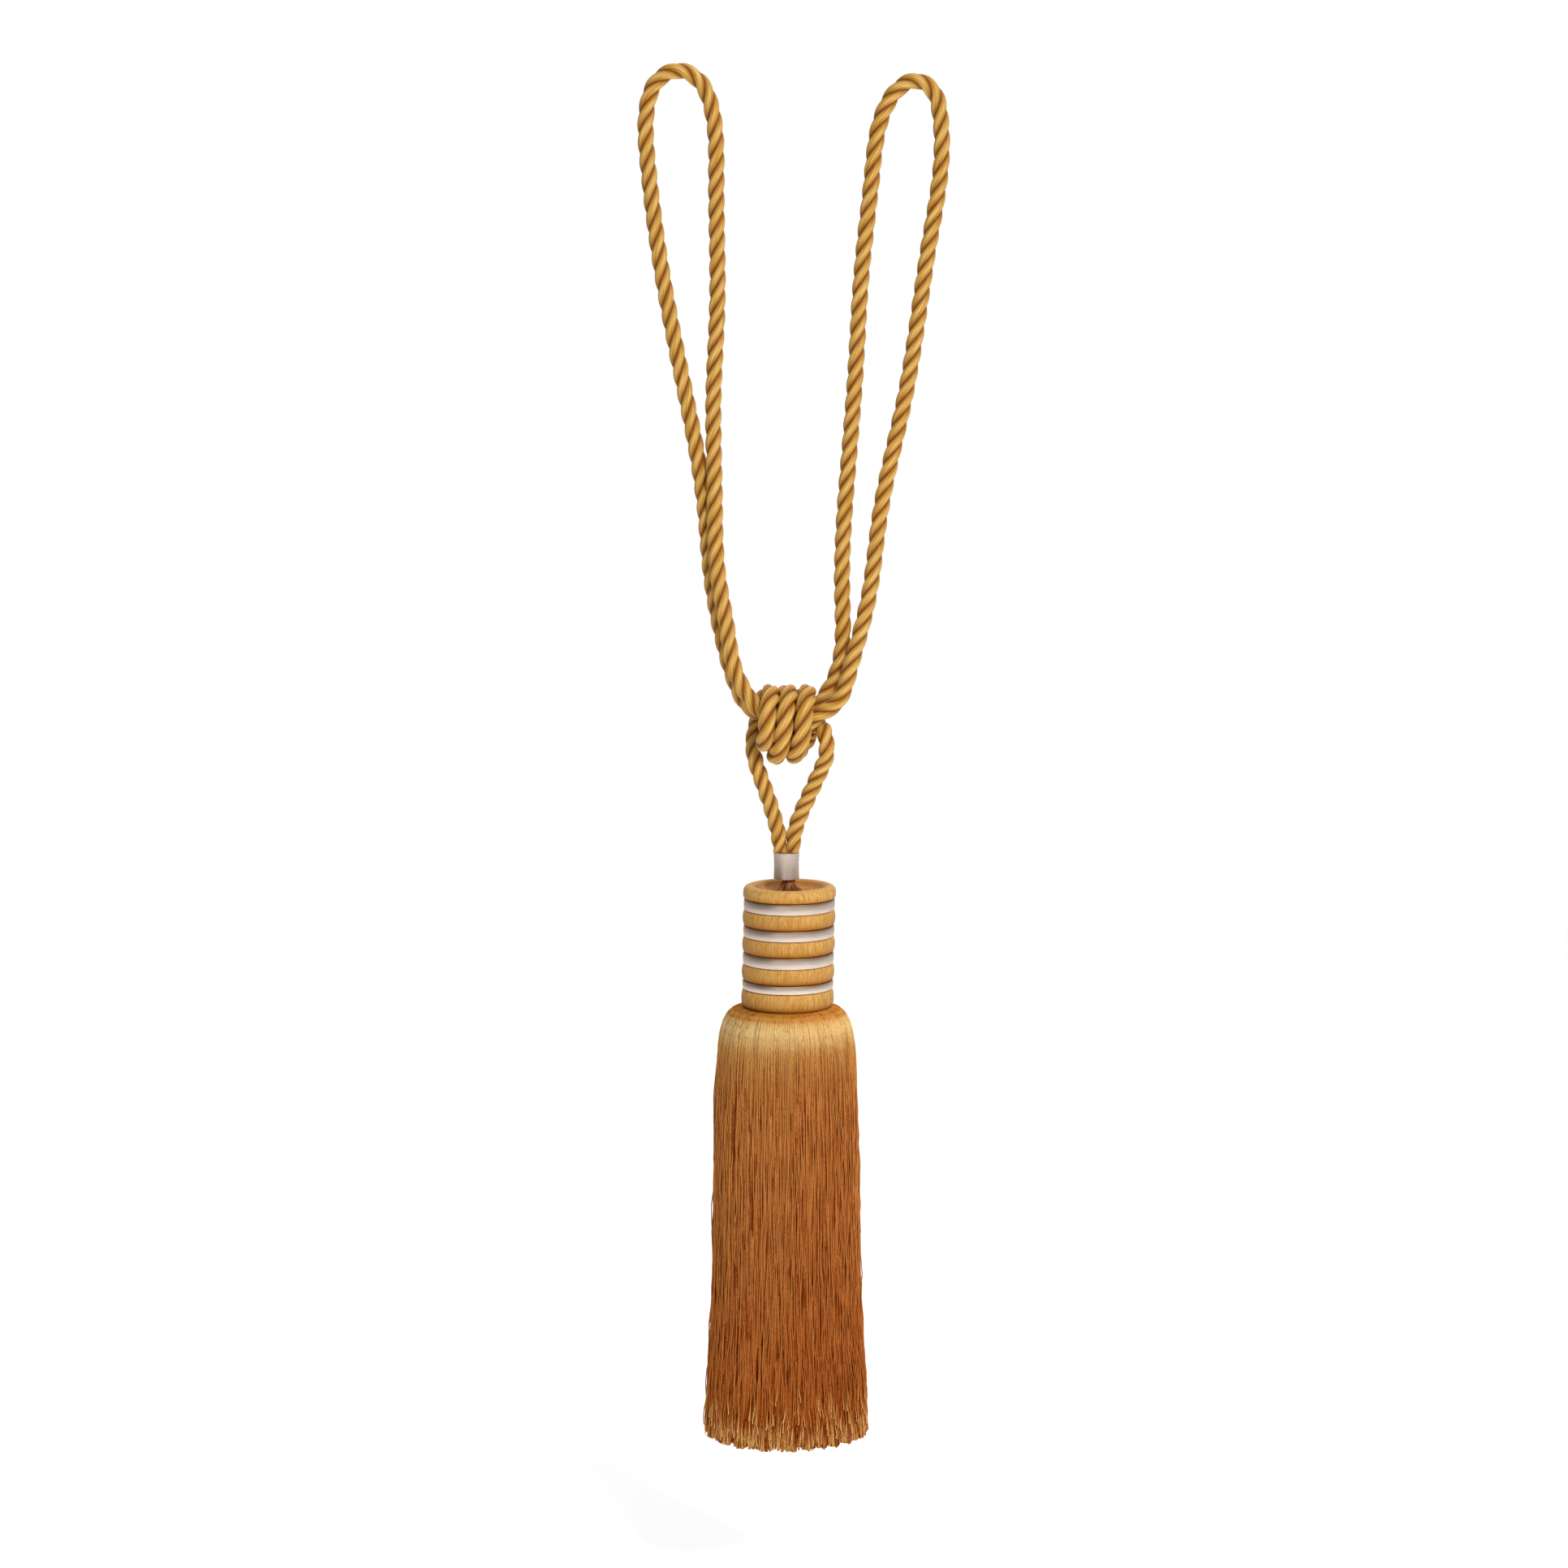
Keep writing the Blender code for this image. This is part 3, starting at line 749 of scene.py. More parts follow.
def turned_mesh(name: str, outline: Iterable[Turn]) -> bpy.types.Mesh:
    """Return a turned outline as a line in the XZ plane, in metres."""
    turns = list(outline)
    points = np.array([(turn.radius, 0.0, turn.z) for turn in turns]) * MM
    return line_mesh(name, points, [min(1.0, max(0.0, turn.shade)) for turn in turns])


def smooth_curve(knots: np.ndarray, samples: int) -> np.ndarray:
    """Return fine points of a natural cubic spline through a few points.

    Args:
        knots: The points that the curve passes, one row each.
        samples: Fine steps between two of them.

    Returns:
        The fine points, one row each.
    """
    spans = np.linalg.norm(np.diff(knots, axis=0), axis=1)
    slopes = np.diff(knots, axis=0) / spans[:, None]
    system = np.diag(2.0 * (spans[:-1] + spans[1:]))
    system += np.diag(spans[1:-1], 1) + np.diag(spans[1:-1], -1)
    inner = np.linalg.solve(system, 6.0 * np.diff(slopes, axis=0))
    none = np.zeros(knots.shape[1])
    bend = np.vstack([none, inner, none])
    fine = [knots[0]]
    for number, span in enumerate(spans):
        here, there = knots[number], knots[number + 1]
        for step in range(1, samples + 1):
            ahead = step / samples
            behind = 1.0 - ahead
            curve = (behind**3 - behind) * bend[number]
            curve = curve + (ahead**3 - ahead) * bend[number + 1]
            fine.append(behind * here + ahead * there + curve * span**2 / 6.0)
    return np.array(fine)


def smooth_turns(turns: Iterable[Turn], samples: int) -> list[Turn]:
    """Return a smooth turned outline through a few of its points."""
    fine = smooth_curve(np.array([tuple(turn) for turn in turns]), samples)
    return [Turn(*map(float, point)) for point in fine]


def settle(piece: bpy.types.Object, slot: Slot, *nodes: str) -> bpy.types.Object:
    """Bind a finished piece to the frame and report it.

    Args:
        piece: The finished mesh object.
        slot: The record's material slot; not used.
        nodes: CAD nodes that it stands for.

    Returns:
        The same piece.
    """
    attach(piece, BODY)
    if nodes:
        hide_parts(*nodes)
    triangles = sum(len(face.vertices) - 2 for face in piece.data.polygons)
    log.info("%s: %d triangles, stands for %s", piece.name, triangles, ", ".join(nodes) or "-")
    return piece


# ---------------------------------------------------------------- finishes


def spun_fibre_group() -> bpy.types.NodeTree:
    """Build the shader group that all yarn and thread here share.

    Returns:
        A group from a place in the yarn to its colour with painted shade, its roughness and its
        relief.
    """
    net = Group("spun_fibre", NetKind.SHADER)
    place, rate = net.take(Sock.VECTOR, "Place", "Fibres per Metre")
    tone, tone_share, fibre_share, contrast, shade_amount, rough = net.take(
        Sock.FLOAT, "Tone", "Tone Share", "Fibre Share", "Fibre Contrast", "Deepness",
        "Base Roughness")
    body, light, deep = net.take(Sock.COLOR, "Body", "Light", "Deep")
    scaled = net.vector("MULTIPLY", place, rate)
    stretched = net.noise(scaled, 1.0, *FIBRE_OCTAVES) * contrast + 0.5
    coarse = net.remap(contrast * -0.5 + stretched, (0.0, 1.0))
    fine = net.noise(scaled, FINE_RATE)
    color = net.blend(tone * tone_share + coarse * fibre_share, body, light)
    # painted shade: the colour turns to the shade colour as far as the shade attribute says
    net.give("Color", Sock.COLOR, net.blend(shade_amount, color, deep))
    net.give("Roughness", Sock.FLOAT, rough + (coarse * -GLOSS_SPREAD + GLOSS_SPREAD / 2.0))
    net.give("Height", Sock.FLOAT, fine * FINE_SHARE + coarse)
    return net.tree


def new_material(name: str) -> tuple[bpy.types.Material, Net, bpy.types.Node]:
    """Return a new material, its net and its shader."""
    made = bpy.data.materials.new(name)
    made.use_nodes = True
    return made, Net(made.node_tree), made.node_tree.nodes["Principled BSDF"]


@dataclass(frozen=True)
class YarnFinish:
    """A yarn or thread: its colours, the colour of its painted shade, how its fibres lie, and its
    gloss.
    """

    name: str
    body: Triple
    light: Triple
    # colour of the painted shade
    deep: Triple
    fibres: Triple                         # fibres per metre, in the straightened yarn
    gloss: Triple = (1.0, 0.8, 0.5)        # tint of the highlights
    roughness: float = 0.5
    specular: float = 0.3
    anisotropic: float = 0.0
    metallic: float = 0.0
    sheen: float = 0.05
    relief: float = 0.05                   # height of the fibres, in millimetres
    tone_share: float = 0.3                # how much a thread's own shade lightens it
    fibre_share: float = 0.5               # and how much its fibres do
    contrast: float = 2.5

    def colors(self, net: Net) -> list[Feed]:
        """Return the body colour, the light fibres' colour and the painted shade's colour."""
        return [(*color, 1.0) for color in (self.body, self.light, self.deep)]

    def attribute(self, net: Net, name: str, output: str = "Fac") -> Wire:
        """Return an output of a mesh attribute's node."""
        return net.out("ShaderNodeAttribute", None, output, attribute_type="GEOMETRY",
                       attribute_name=name)

    def material(self, fibre: bpy.types.NodeTree) -> bpy.types.Material:
        """Build the material.

        Args:
            fibre: The shared shader group.

        Returns:
            The material, under the finish's name.
        """
        made, net, shader = new_material(self.name)
        body, light, deep = self.colors(net)
        group = net.add("ShaderNodeGroup", node_tree=fibre)
        net.feed(group, {
            "Place": self.attribute(net, LAY, "Vector"),
            "Fibres per Metre": self.fibres,
            "Tone": self.attribute(net, TONE),
            "Tone Share": self.tone_share,
            "Fibre Share": self.fibre_share,
            "Fibre Contrast": self.contrast,
            "Deepness": self.attribute(net, SHADE),
            "Body": body,
            "Light": light,
            "Deep": deep,
            "Base Roughness": self.roughness,
        })
        color, rough, height = (Wire(net, socket) for socket in group.outputs)
        net.feed(shader, {
            "Base Color": color,
            "Roughness": rough,
            "Normal": net.out("ShaderNodeBump", {
                "Height": height, "Strength": 1.0, "Distance": self.relief * MM}),
            "Specular IOR Level": self.specular,
            "Specular Tint": (*self.gloss, 1.0),
            "Anisotropic": self.anisotropic,
            "Metallic": self.metallic,
            "Sheen Weight": self.sheen,
            "Sheen Roughness": SHEEN_ROUGHNESS,
            "Sheen Tint": (*self.light, 1.0),
        })
        return made


@dataclass(frozen=True)
class SkirtFinish(YarnFinish):
    """Fine strands, golden where they leave the head and deeper further down.

    The body colour follows the shades, from a strand's root to its tip: the yarn's own colour
    with a painted shadow just under the head, a painted highlight on the shoulder, and darker
    and redder further down, partly its own tone and partly painted shade.  Light stretches,
    and the painted shade of buried strands and dark gaps, have that colour times a gain, in
    place of the plain light and shade colours.
    """

    # colours down the fall, with painted shadow under the head, painted highlight on the shoulder and
    # painted shade lower down
    shades: tuple[tuple[float, Triple], ...] = ()
    light_gain: Triple = (1.95, 4.4, 38.0)
    # painted shade of buried strands and dark gaps, as a share of the body colour
    deep_gain: Triple = (0.60, 0.28, 0.06)

    def colors(self, net: Net) -> list[Feed]:
        """Return the colour along a strand, and what its light parts and its painted shade turn to.
        """
        ramp = net.add("ShaderNodeValToRGB", {"Fac": self.attribute(net, FALL)})
        stops = ramp.color_ramp.elements
        while len(stops) < len(self.shades):
            stops.new(1.0)
        for stop, (place, color) in zip(stops, self.shades):
            stop.position = place
            stop.color = (*color, 1.0)
        body = Wire(net, ramp.outputs["Color"])
        gains = (self.light_gain, self.deep_gain)
        return [body, *(net.vector("MULTIPLY", body, gain) for gain in gains)]


class Finishes:
    """Every finish of the tieback, each built once."""

    def __init__(self) -> None:
        """Build the shared shader group and the materials."""
        fibre = spun_fibre_group()
        # rope: painted shade darkens each strand towards its grooves
        self.rope = YarnFinish(
            "rope_yarn", body=(0.57, 0.285, 0.033), light=(0.90, 0.600, 0.200),
            deep=(0.22, 0.048, 0.0003), gloss=(1.0, 0.8, 0.5), fibres=(950.0, 1.0, 40.0),
            roughness=0.36, specular=0.13, sheen=0.0, relief=0.08, tone_share=0.0,
            fibre_share=0.8, contrast=3.5,
        ).material(fibre)
        # head: painted shade in the recess, along the rings' edges and on their lower halves
        self.cover = YarnFinish(
            "head_yarn", body=(0.46, 0.205, 0.032), light=(0.86, 0.51, 0.165),
            deep=(0.33, 0.105, 0.005), gloss=(1.0, 0.75, 0.4), fibres=(800.0, 800.0, 190.0),
            roughness=0.45, specular=0.15, sheen=0.0, relief=0.03, tone_share=0.25,
            fibre_share=0.7, contrast=2.2,
        ).material(fibre)
        # neck: painted shade on buried strands and in dark gaps
        self.neck = YarnFinish(
            "neck_yarn", body=(0.62, 0.26, 0.085), light=(0.88, 0.47, 0.20),
            deep=(0.2, 0.05, 0.01), fibres=(1.0, 1.0, 300.0), tone_share=0.7,
        ).material(fibre)
        self.roots = YarnFinish(
            "root_yarn", body=(0.60, 0.24, 0.045), light=(0.72, 0.34, 0.09),
            deep=(0.2, 0.05, 0.01), fibres=(2600.0, 2600.0, 70.0),
        ).material(fibre)
        # satin: painted shadow under each ring, tinted golden as a painted reflection of the ring
        self.satin = YarnFinish(
            "satin_thread", body=(0.68, 0.555, 0.46), light=(0.90, 0.77, 0.66),
            deep=(0.40, 0.22, 0.09), fibres=(110.0, 110.0, 2400.0), roughness=0.36,
            gloss=(1.0, 0.92, 0.84), specular=0.5, anisotropic=0.5, metallic=0.8,
            relief=0.009, tone_share=0.15, fibre_share=0.4,
        ).material(fibre)
        # skirt: the fibres' light and dark stretches down each strand are painted glints and shade of
        # the yarn's crimp
        self.skirt = SkirtFinish(
            "skirt_strands", body=(0.42, 0.13, 0.027), light=(0.86, 0.50, 0.20),
            deep=(0.2, 0.05, 0.01), gloss=(1.0, 0.62, 0.28), fibres=(1.0, 1.0, 480.0),
            roughness=0.45, specular=0.0, sheen=0.0, relief=0.08, tone_share=0.65,
            fibre_share=0.62, contrast=5.5,
            # fall, then colour: painted shadow just under the head, painted highlight on the
            # shoulder, darker and redder down the fall, partly the yarn's own tone and partly painted
            # shade, and lighter tips
            shades=(
                (0.000, (0.46, 0.120, 0.0030)), (0.030, (0.37, 0.070, 0.0014)),
                (0.045, (0.38, 0.084, 0.0024)), (0.060, (0.455, 0.138, 0.0064)),
                (0.078, (0.455, 0.140, 0.0068)), (0.125, (0.325, 0.070, 0.0022)),
                (0.190, (0.305, 0.055, 0.0016)), (0.300, (0.31, 0.053, 0.0015)),
                (0.600, (0.28, 0.044, 0.0012)), (0.850, (0.265, 0.037, 0.0009)),
                (0.950, (0.250, 0.033, 0.0007)), (1.000, (0.43, 0.112, 0.0042)),
            ),
        ).material(fibre)


# ---------------------------------------------------------------- ropes


@dataclass
class LaidRope:
    """A three-strand rope laid along a given route."""

    node: str
    route: tuple[At, ...]
    end_crest: float                       # crest at the two ends
    ridge_points: int = 20                 # points across each strand
    yarn_turn: float = 0.47                # how steeply the yarns cross a strand
    crest: float = 5.05                    # middle line to the outside of the soft strands
    strand_radius: float = 3.1
    ring_step: float = 1.5                 # distance between two outlines
    lead: float = ROPE_LEAD
    knot_lead: float = ROPE_LEAD
    taper: float = 20.0                    # length over which an end is drawn in
    knot: tuple[int, int] = (0, 0)         # points of the route where the knot begins and ends
    swell: float = 1.0                     # how much thicker the rope is there
    samples: int = 24                      # fine steps between two points of the route

    def half_arc(self) -> float:
        """Return the angle from a strand's crest to where it meets its neighbour."""
        offset = self.crest - self.strand_radius
        lobe = math.pi / ROPE_STRANDS
        meeting = offset * math.cos(lobe) + math.sqrt(
            self.strand_radius**2 - (offset * math.sin(lobe)) ** 2
        )
        return math.atan2(meeting * math.sin(lobe), meeting * math.cos(lobe) - offset)

    def build(self, trees: Trees, material: bpy.types.Material) -> bpy.types.Object:
        """Args:
            trees: The geometry node trees.
            material: The rope's finish.

        Returns:
            The finished rope.
        """
        points = smooth_curve(np.array([tuple(at) for at in self.route]) * MM, self.samples)
        steps = np.linalg.norm(np.diff(points, axis=0), axis=1)
        runs = np.concatenate([[0.0], np.cumsum(steps)]).tolist()
        knot_start, knot_end = (runs[number * self.samples] for number in self.knot)
        piece = run_tree(self.node + "_strands", line_mesh(self.node, points), trees.rope, {
            **vars(self),
            "strand_offset": self.crest - self.strand_radius,
            "half_arc": self.half_arc(),
            "end_scale": self.end_crest / self.crest,
            "knot_start": knot_start,
            "knot_end": knot_end,
            "material": material,
        })
        settle(piece, Slot.ROPE, self.node)
        return piece


# ---------------------------------------------------------------- turned pieces


@dataclass
class TurnedPiece:
    """A turned piece covered with thread, closed at both ends of its outline."""

    node: str
    slot: Slot
    columns: int                           # steps round the piece
    threads_round: float                   # lengthwise threads, or 1 for a winding
    thread_pitch: float = 0.0              # distance between a winding's turns
    ridge: float = 0.05                    # height of a thread
    ridge_radius: float = 12.0             # nearer to the middle line, threads flatten
    uneven: float = 0.05                   # height of the lumps
    lumps: float = 90.0                    # lumps per metre
    middle_x: float = 0.0                  # the middle line's place, at height 0
    lean: float = 0.0                      # and how far it leans for each length of height
    seed: int = 1
    suffix = "_threads"

    def outline(self) -> list[Turn]:
        """Return the outline from its top to its bottom."""
        raise NotImplementedError

    def build(self, trees: Trees, material: bpy.types.Material) -> bpy.types.Object:
        """Turn the outline, cover it, and bind it to the frame.

        Args:
            trees: The geometry node trees.
            material: The piece's finish.

        Returns:
            The finished piece.
        """
        name = self.node + self.suffix
        per_metre = 1.0 / (self.thread_pitch * MM) if self.thread_pitch else 0.0
        piece = run_tree(name, turned_mesh(name, self.outline()), trees.cover, {
            **vars(self), "threads_per_metre": per_metre, "material": material})
        return settle(piece, self.slot, self.node)


@dataclass
class Winding(TurnedPiece):
    """Satin thread wound round and round in close turns."""

    edge_radius: float = 7.85
    middle_radius: float = 7.5
    shadow_share: float = 0.0              # share of its height, from the top, that takes painted shadow
    rows_per_thread: int = 3

    def face(self) -> list[Turn]:
        """Return the winding's face, in rows fine enough for each thread."""
        low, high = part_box(self.node)
        top, bottom = high.z / MM, low.z / MM
        rows = round((top - bottom) / self.thread_pitch * self.rows_per_thread)
        face = []
        for number in range(rows + 1):
            share = number / rows
            swell = math.sin(math.pi * share)
            radius = self.edge_radius + (self.middle_radius - self.edge_radius) * swell
            # painted shadow along the top, fading downwards
            shade = max(1.0 - share / self.shadow_share, 0.0) if self.shadow_share else 0.0
            face.append(Turn(radius, top + (bottom - top) * share, shade))
        return face


@dataclass
class Collar(Winding):
    """The binding round the rope's two legs."""

    corner: float = 0.4                    # how far the wall stands out past its flat ends

    def outline(self) -> list[Turn]:
        """Return a waisted wall between flat ends."""
        face = self.face()
        (top, top_edge), (bottom, bottom_edge) = (
            (Turn(0.0, end.z), Turn(self.edge_radius - self.corner, end.z))
            for end in (face[0], face[-1])
        )
        return [top, top_edge, *face, bottom_edge, bottom]


@dataclass
class Head(TurnedPiece):
    """The turned head under its lengthwise yarn: recess, rim, rings and grooves."""

    radius: float = 28.2
    groove_radius: float = 26.4
    rim_round: float = 3.6
    corner: float = 2.1                    # 2 gives a ring's face an even round, more a squarer one
    ring_steps: int = 18
    rim_steps: int = 6
    recess_steps: int = 5                  # fine steps between two points of the recess
    upper_edge: tuple[float, float] = (0.5, 0.6)  # painted shade along a ring's upper edge, and how far out it fades
    # painted shade along a ring's lower edge, and how far out it fades
    lower_edge: tuple[float, float] = (1.0, 1.0)
    underside: float = 0.6                 # further painted shade towards a ring's foot, where less light falls

    def recess(self) -> list[Turn]:
        """Return the open top, from the neck in the collar out to the crest of the rim."""
        # the third values are painted shade, deepest round the neck and fading towards the rim's
        # crest
        neck = (
            Turn(3.5, NECK_TOP, 1.0), Turn(3.6, RIM_TOP + 0.8, 1.0), Turn(4.9, RIM_TOP - 1.6, 1.0),
            Turn(8.8, RIM_TOP - 3.4, 0.9), Turn(14.0, RIM_TOP - 4.2, 0.65),
            Turn(17.9, RIM_TOP - 3.4, 0.55), Turn(20.3, RIM_TOP - 1.3, 0.7),
            Turn(22.2, RIM_TOP - 0.2, 0.4), Turn(self.radius - self.rim_round, RIM_TOP),
        )
        return [Turn(0.0, NECK_TOP, 1.0), *smooth_turns(neck, self.recess_steps)]

    def rim(self) -> list[Turn]:
        """Return the round shoulder of the rim."""
        turns = []
        for number in range(1, self.rim_steps + 1):
            angle = 0.5 * math.pi * number / self.rim_steps
            turns.append(Turn(
                self.radius - self.rim_round * (1.0 - math.sin(angle)),
                RIM_TOP - self.rim_round * (1.0 - math.cos(angle)),
            ))
        return turns

    def ring(self, top: float, bottom: float, first: int) -> list[Turn]:
        """Return a ring's rounded face, from the groove above to the groove below.

        Args:
            top: Height of its upper edge.
            bottom: Height of its lower edge.
            first: Step to start from; half way leaves the upper half out.

        Returns:
            The turns of the face.
        """
        power = 2.0 / self.corner
        middle, half = (top + bottom) / 2.0, (top - bottom) / 2.0
        turns = []
        for step in range(first, self.ring_steps + 1):
            angle = math.pi * (0.5 - step / self.ring_steps)
            up, out = math.sin(angle), max(0.0, math.cos(angle))
            edge, reach = self.upper_edge if up > 0.0 else self.lower_edge
            # the third value is painted shade: along the ring's edges, and growing towards its foot
            turns.append(Turn(
                self.groove_radius + (self.radius - self.groove_radius) * out**power,
                middle + half * math.copysign(abs(up) ** power, up),
                edge * max(0.0, 1.0 - out / reach) + self.underside * (1.0 - up) / 2.0,
            ))
        return turns

    def outline(self) -> list[Turn]:
        """Return the whole outline, from inside the collar to the base."""
        top, bottom = RINGS[0]
        outline = self.recess() + self.rim()
        outline += self.ring(top - self.rim_round, bottom, self.ring_steps // 2 + 1)
        for top, bottom in RINGS[1:]:
            outline += self.ring(top, bottom, 0)
        return [*outline, Turn(0.0, RINGS[-1][1])]


@dataclass
class Band(Winding):
    """A satin band wound in one of the head's grooves."""

    edge_radius: float = 27.45
    middle_radius: float = 27.75
    inner_radius: float = 26.7
    # painted shadow under the ring above
    shadow_share: float = 0.3

    def outline(self) -> list[Turn]:
        """Return the closed outline of the winding, back inside to where it began."""
        face = self.face()
        top, bottom = (Turn(self.inner_radius, end.z) for end in (face[0], face[-1]))
        return [top, *face, bottom, top]


# ---------------------------------------------------------------- strands


@dataclass
class Strands:
    """Fine strands that hang from one line of roots and follow one outline."""

    name: str
    slot: Slot
    line: tuple[Turn, ...]
    count: int
    segments: int
    thickness: float
    first_depth: float                     # outermost strand, as a share of the line's radius inwards
    last_depth: float                      # and innermost strand
    uneven: float                          # how much shorter the shortest is
    sway: float                            # how far locks of strands go sideways
    wander: float                          # and how far single strands do
    seed: int
    locks: float = 5.0                     # how closely the locks follow each other round
    furrow: float = 0.5                    # how far they stand in or out
    bends: float = 3.0                     # how often a strand bends down its fall
    slack: float = 1.6                     # the higher, the nearer to its tip it starts to stray
    clumps: float = 150.0                  # clumps all round
    pull: float = 0.45                     # how far a strand is drawn to its clump's middle
    clump_depth: float = 0.4               # how far the most sunken clump lies in
    least_tone: float = 0.0
    buried: float = 0.06                   # depth at which a strand counts as buried, with full painted shade
    gap_shade: float = 0.7                 # painted shade of the dark gaps
    middle_x: float = 0.0

    def build(self, trees: Trees, material: bpy.types.Material,
              *nodes: str) -> bpy.types.Object:
        """Hang the strands and bind them to the frame.

        Args:
            trees: The geometry node trees.
            material: The strands' finish.
            nodes: CAD nodes that they stand for.

        Returns:
            The finished strands, joined in one mesh.
        """
        outline = turned_mesh(self.name, smooth_turns(self.line, OUTLINE_STEPS))
        values = {**vars(self), "material": material}
        return settle(run_tree(self.name, outline, trees.strands, values), self.slot, *nodes)


@dataclass
class SkirtBacking(TurnedPiece):
    """The plain body under the strands' roots; it stands for the same node as they do."""

    shrink: float = 0.972                  # its radius as a share of the strands' line
    drop: float = 0.8                      # how far it lies below that line
    suffix = "_backing"

    def outline(self) -> list[Turn]:
        """Return the shoulder's own outline, a little inside the strands."""
        wall = [turn for turn in smooth_turns(SKIRT_LINE, OUTLINE_STEPS)
                if turn.z > BACKING_BOTTOM]
        wall = [Turn(turn.radius * self.shrink, turn.z - self.drop) for turn in wall]
        return [Turn(0.0, wall[0].z), *wall, Turn(0.0, wall[-1].z)]


class Skirt:
    """The long skirt: three layers of strands, a few stray ones, and their backing."""

    def build(self, trees: Trees, finishes: Finishes) -> None:
        """Hang every layer.

        Args:
            trees: The geometry node trees.
            finishes: The materials.
        """
        common = dict(slot=Slot.SKIRT, line=SKIRT_LINE, middle_x=SKIRT_X, sway=2.6)
        layers = (
            Strands("skirt_front_strands", count=1000, segments=32, thickness=0.95,
                    first_depth=0.0, last_depth=0.014, uneven=8.0, wander=3.0, bends=4.0,
                    seed=11, **common),
            Strands("skirt_second_strands", count=1050, segments=26, thickness=0.95,
                    first_depth=0.008, last_depth=0.034, uneven=8.0, wander=2.2, seed=12,
                    **common),
            Strands("skirt_inner_strands", count=1700, segments=8, thickness=1.1,
                    first_depth=0.03, last_depth=0.32, uneven=7.0, wander=1.5, seed=13,
                    **common),
            Strands("skirt_stray_strands", count=480, segments=30, thickness=0.7,
                    first_depth=-0.01, last_depth=0.002, uneven=36.0, wander=7.0, bends=5.0,
                    slack=2.0, least_tone=1.2, gap_shade=0.0, seed=14, **common),
        )
        for layer in layers:
            layer.build(trees, finishes.skirt, "skirt")
        SkirtBacking("skirt", Slot.SKIRT, columns=96, threads_round=0.0, ridge=0.0, uneven=0.0,
                     middle_x=SKIRT_X, seed=0).build(trees, finishes.roots)


# ---------------------------------------------------------------- studio


@dataclass
class Lamp:
    """A soft square lamp."""

    name: str
    place: Triple
    aim: Triple
    size: float
    power: float

    def build(self) -> None:
        """Hang the lamp and point it."""
        light = bpy.data.lights.new(self.name, "AREA")
        light.shape, light.size, light.energy = "SQUARE", self.size, self.power
        lamp = bpy.data.objects.new(self.name, light)
        lamp.location = self.place
        toward = Vector(self.aim) - Vector(self.place)
        lamp.rotation_euler = toward.to_track_quat("-Z", "Y").to_euler()
        bpy.context.scene.collection.objects.link(lamp)


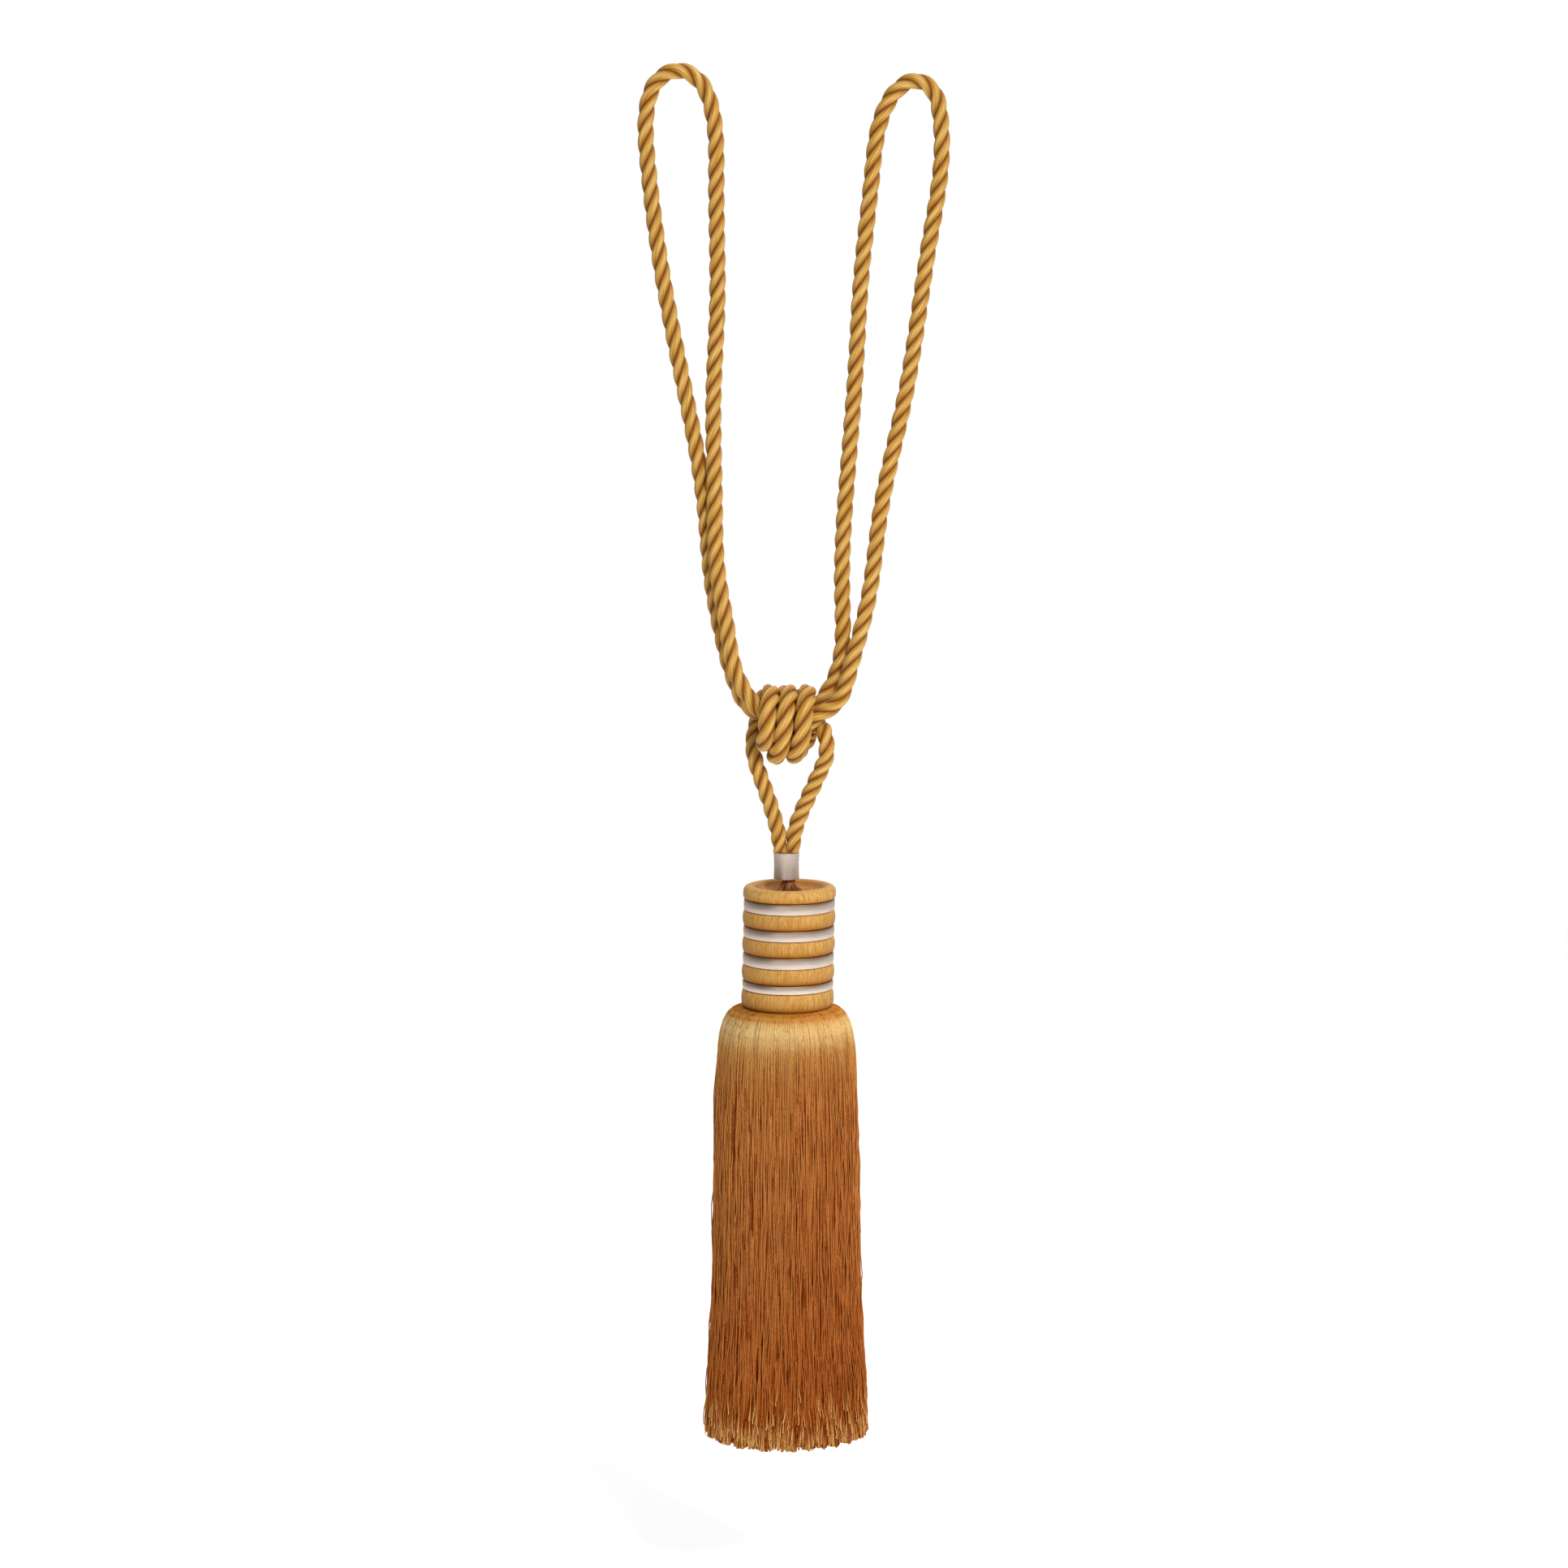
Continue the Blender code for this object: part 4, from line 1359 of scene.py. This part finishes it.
@dataclass
class Studio:
    """A pale floor, soft light and the camera, in metres."""

    floor_height: float = -0.95
    floor_radius: float = 3.0
    floor_fade: tuple[float, float] = (0.3, 0.98)
    floor_glow: float = 0.35
    light_below: float = 0.12
    light_above: float = 0.85
    light_left: float = 0.08
    light_right: float = 0.6
    light_back: float = 0.8
    upward_limits: tuple[float, float] = (-0.4, 0.8)
    left_limits: tuple[float, float] = (-0.95, -0.4)
    right_limits: tuple[float, float] = (0.8, 0.97)
    camera_place: Triple = (-0.00223, -3.029, 0.0)
    camera_pitch: float = 8.15
    camera_lens: float = 115.8
    camera_sensor: float = 36.0
    camera_reach: float = 50.0
    middle: Triple = (0.0, 0.0, -0.45)

    def camera(self) -> None:
        """Make the camera at the photographed angle."""
        data = bpy.data.cameras.new("camera")
        data.lens, data.sensor_width = self.camera_lens, self.camera_sensor
        data.clip_end = self.camera_reach
        camera = bpy.data.objects.new("camera", data)
        camera.location = self.camera_place
        camera.rotation_euler = (math.radians(90.0 - self.camera_pitch), 0.0, 0.0)
        bpy.context.scene.collection.objects.link(camera)
        bpy.context.scene.camera = camera

    def floor(self) -> None:
        """Make the pale floor, which fades out towards its edge."""
        bpy.ops.mesh.primitive_circle_add(
            vertices=96, radius=self.floor_radius, fill_type="NGON",
            location=(0.0, 0.0, self.floor_height),
        )
        floor = bpy.context.active_object
        floor.name = "studio_floor"
        material, net, shader = new_material("studio_floor")
        net.feed(shader, {
            "Base Color": (0.9, 0.9, 0.9, 1.0), "Roughness": 0.8,
            "Emission Color": WHITE, "Emission Strength": self.floor_glow,
        })
        place = net.out("ShaderNodeTexCoord", None, "Object")
        out = net.out("ShaderNodeVectorMath", {0: place}, "Value", operation="LENGTH")
        edges = [share * self.floor_radius for share in self.floor_fade]
        mixed = net.out("ShaderNodeMixShader", {
            0: net.remap(out, edges, ease=Ease.SMOOTH), 1: Wire(net, shader.outputs[0]),
            2: net.out("ShaderNodeBsdfTransparent")})
        net.feed(material.node_tree.nodes["Material Output"], {"Surface": mixed})
        floor.data.materials.append(material)

    def light(self) -> None:
        """Set the surrounding light and hang the lamps."""
        world = bpy.data.worlds.new("studio")
        bpy.context.scene.world = world
        world.use_nodes = True
        net = Net(world.node_tree)
        camera_ray = net.out("ShaderNodeLightPath", None, "Is Camera Ray")
        right, back, up = net.split(net.out("ShaderNodeTexCoord", None, "Generated"))
        soft = net.remap(up, self.upward_limits, (self.light_below, self.light_above))
        side = (net.remap(right, self.left_limits, (self.light_left, 1.0), Ease.SMOOTH)
                * net.remap(right, self.right_limits, (1.0, self.light_right), Ease.SMOOTH))
        soft = soft * (back * self.light_back + side)
        net.feed(world.node_tree.nodes["Background"], {
            "Color": WHITE, "Strength": net.remap(camera_ray, (0.0, 1.0), (soft, 1.0))})
        Lamp("key_lamp", (1.0, -2.5, 1.2), self.middle, size=0.8, power=62.0).build()
        Lamp("fill_lamp", (-1.1, -2.8, 0.2), self.middle, size=1.2, power=6.0).build()

    def build(self) -> None:
        """Set up the whole studio."""
        self.camera()
        self.floor()
        self.light()
        bpy.context.scene.view_settings.view_transform = "Standard"


def main() -> None:
    """Build the studio and every piece of the tieback, in order."""
    Studio().build()
    trees, finishes = Trees(), Finishes()
    LaidRope("loop_cord", LOOP_ROUTE, end_crest=LaidRope.crest).build(trees, finishes.rope)
    LaidRope("hanger_cord", HANGER_ROUTE, end_crest=4.3, lead=HANGER_LEAD, taper=10.0,
             knot=(9, 31), knot_lead=KNOT_LEAD, swell=1.11).build(trees, finishes.rope)
    Collar("collar", Slot.SATIN, columns=96, threads_round=1.0, thread_pitch=0.45,
           uneven=0.1, middle_x=-0.75, seed=3).build(trees, finishes.satin)
    Head("head", Slot.YARN, columns=480, threads_round=240.0, ridge=0.03, uneven=0.12,
         middle_x=HEAD_X, lean=HEAD_LEAN).build(trees, finishes.cover)
    for number in range(1, len(RINGS)):
        Band(f"band_{number}", Slot.SATIN, columns=180, threads_round=1.0, thread_pitch=0.45,
             ridge=0.022, uneven=0.06, middle_x=HEAD_X, lean=HEAD_LEAN, seed=number,
             ).build(trees, finishes.satin)
    Strands("neck_strands", Slot.YARN, NECK_LINE, count=84, segments=8, thickness=0.5,
            first_depth=0.0, last_depth=0.1, uneven=3.0, sway=0.5, wander=0.5, seed=5,
            furrow=0.1, middle_x=0.7).build(trees, finishes.neck)
    Skirt().build(trees, finishes)
    log.info("all pieces are in place")


if __name__ == "__main__":
    main()
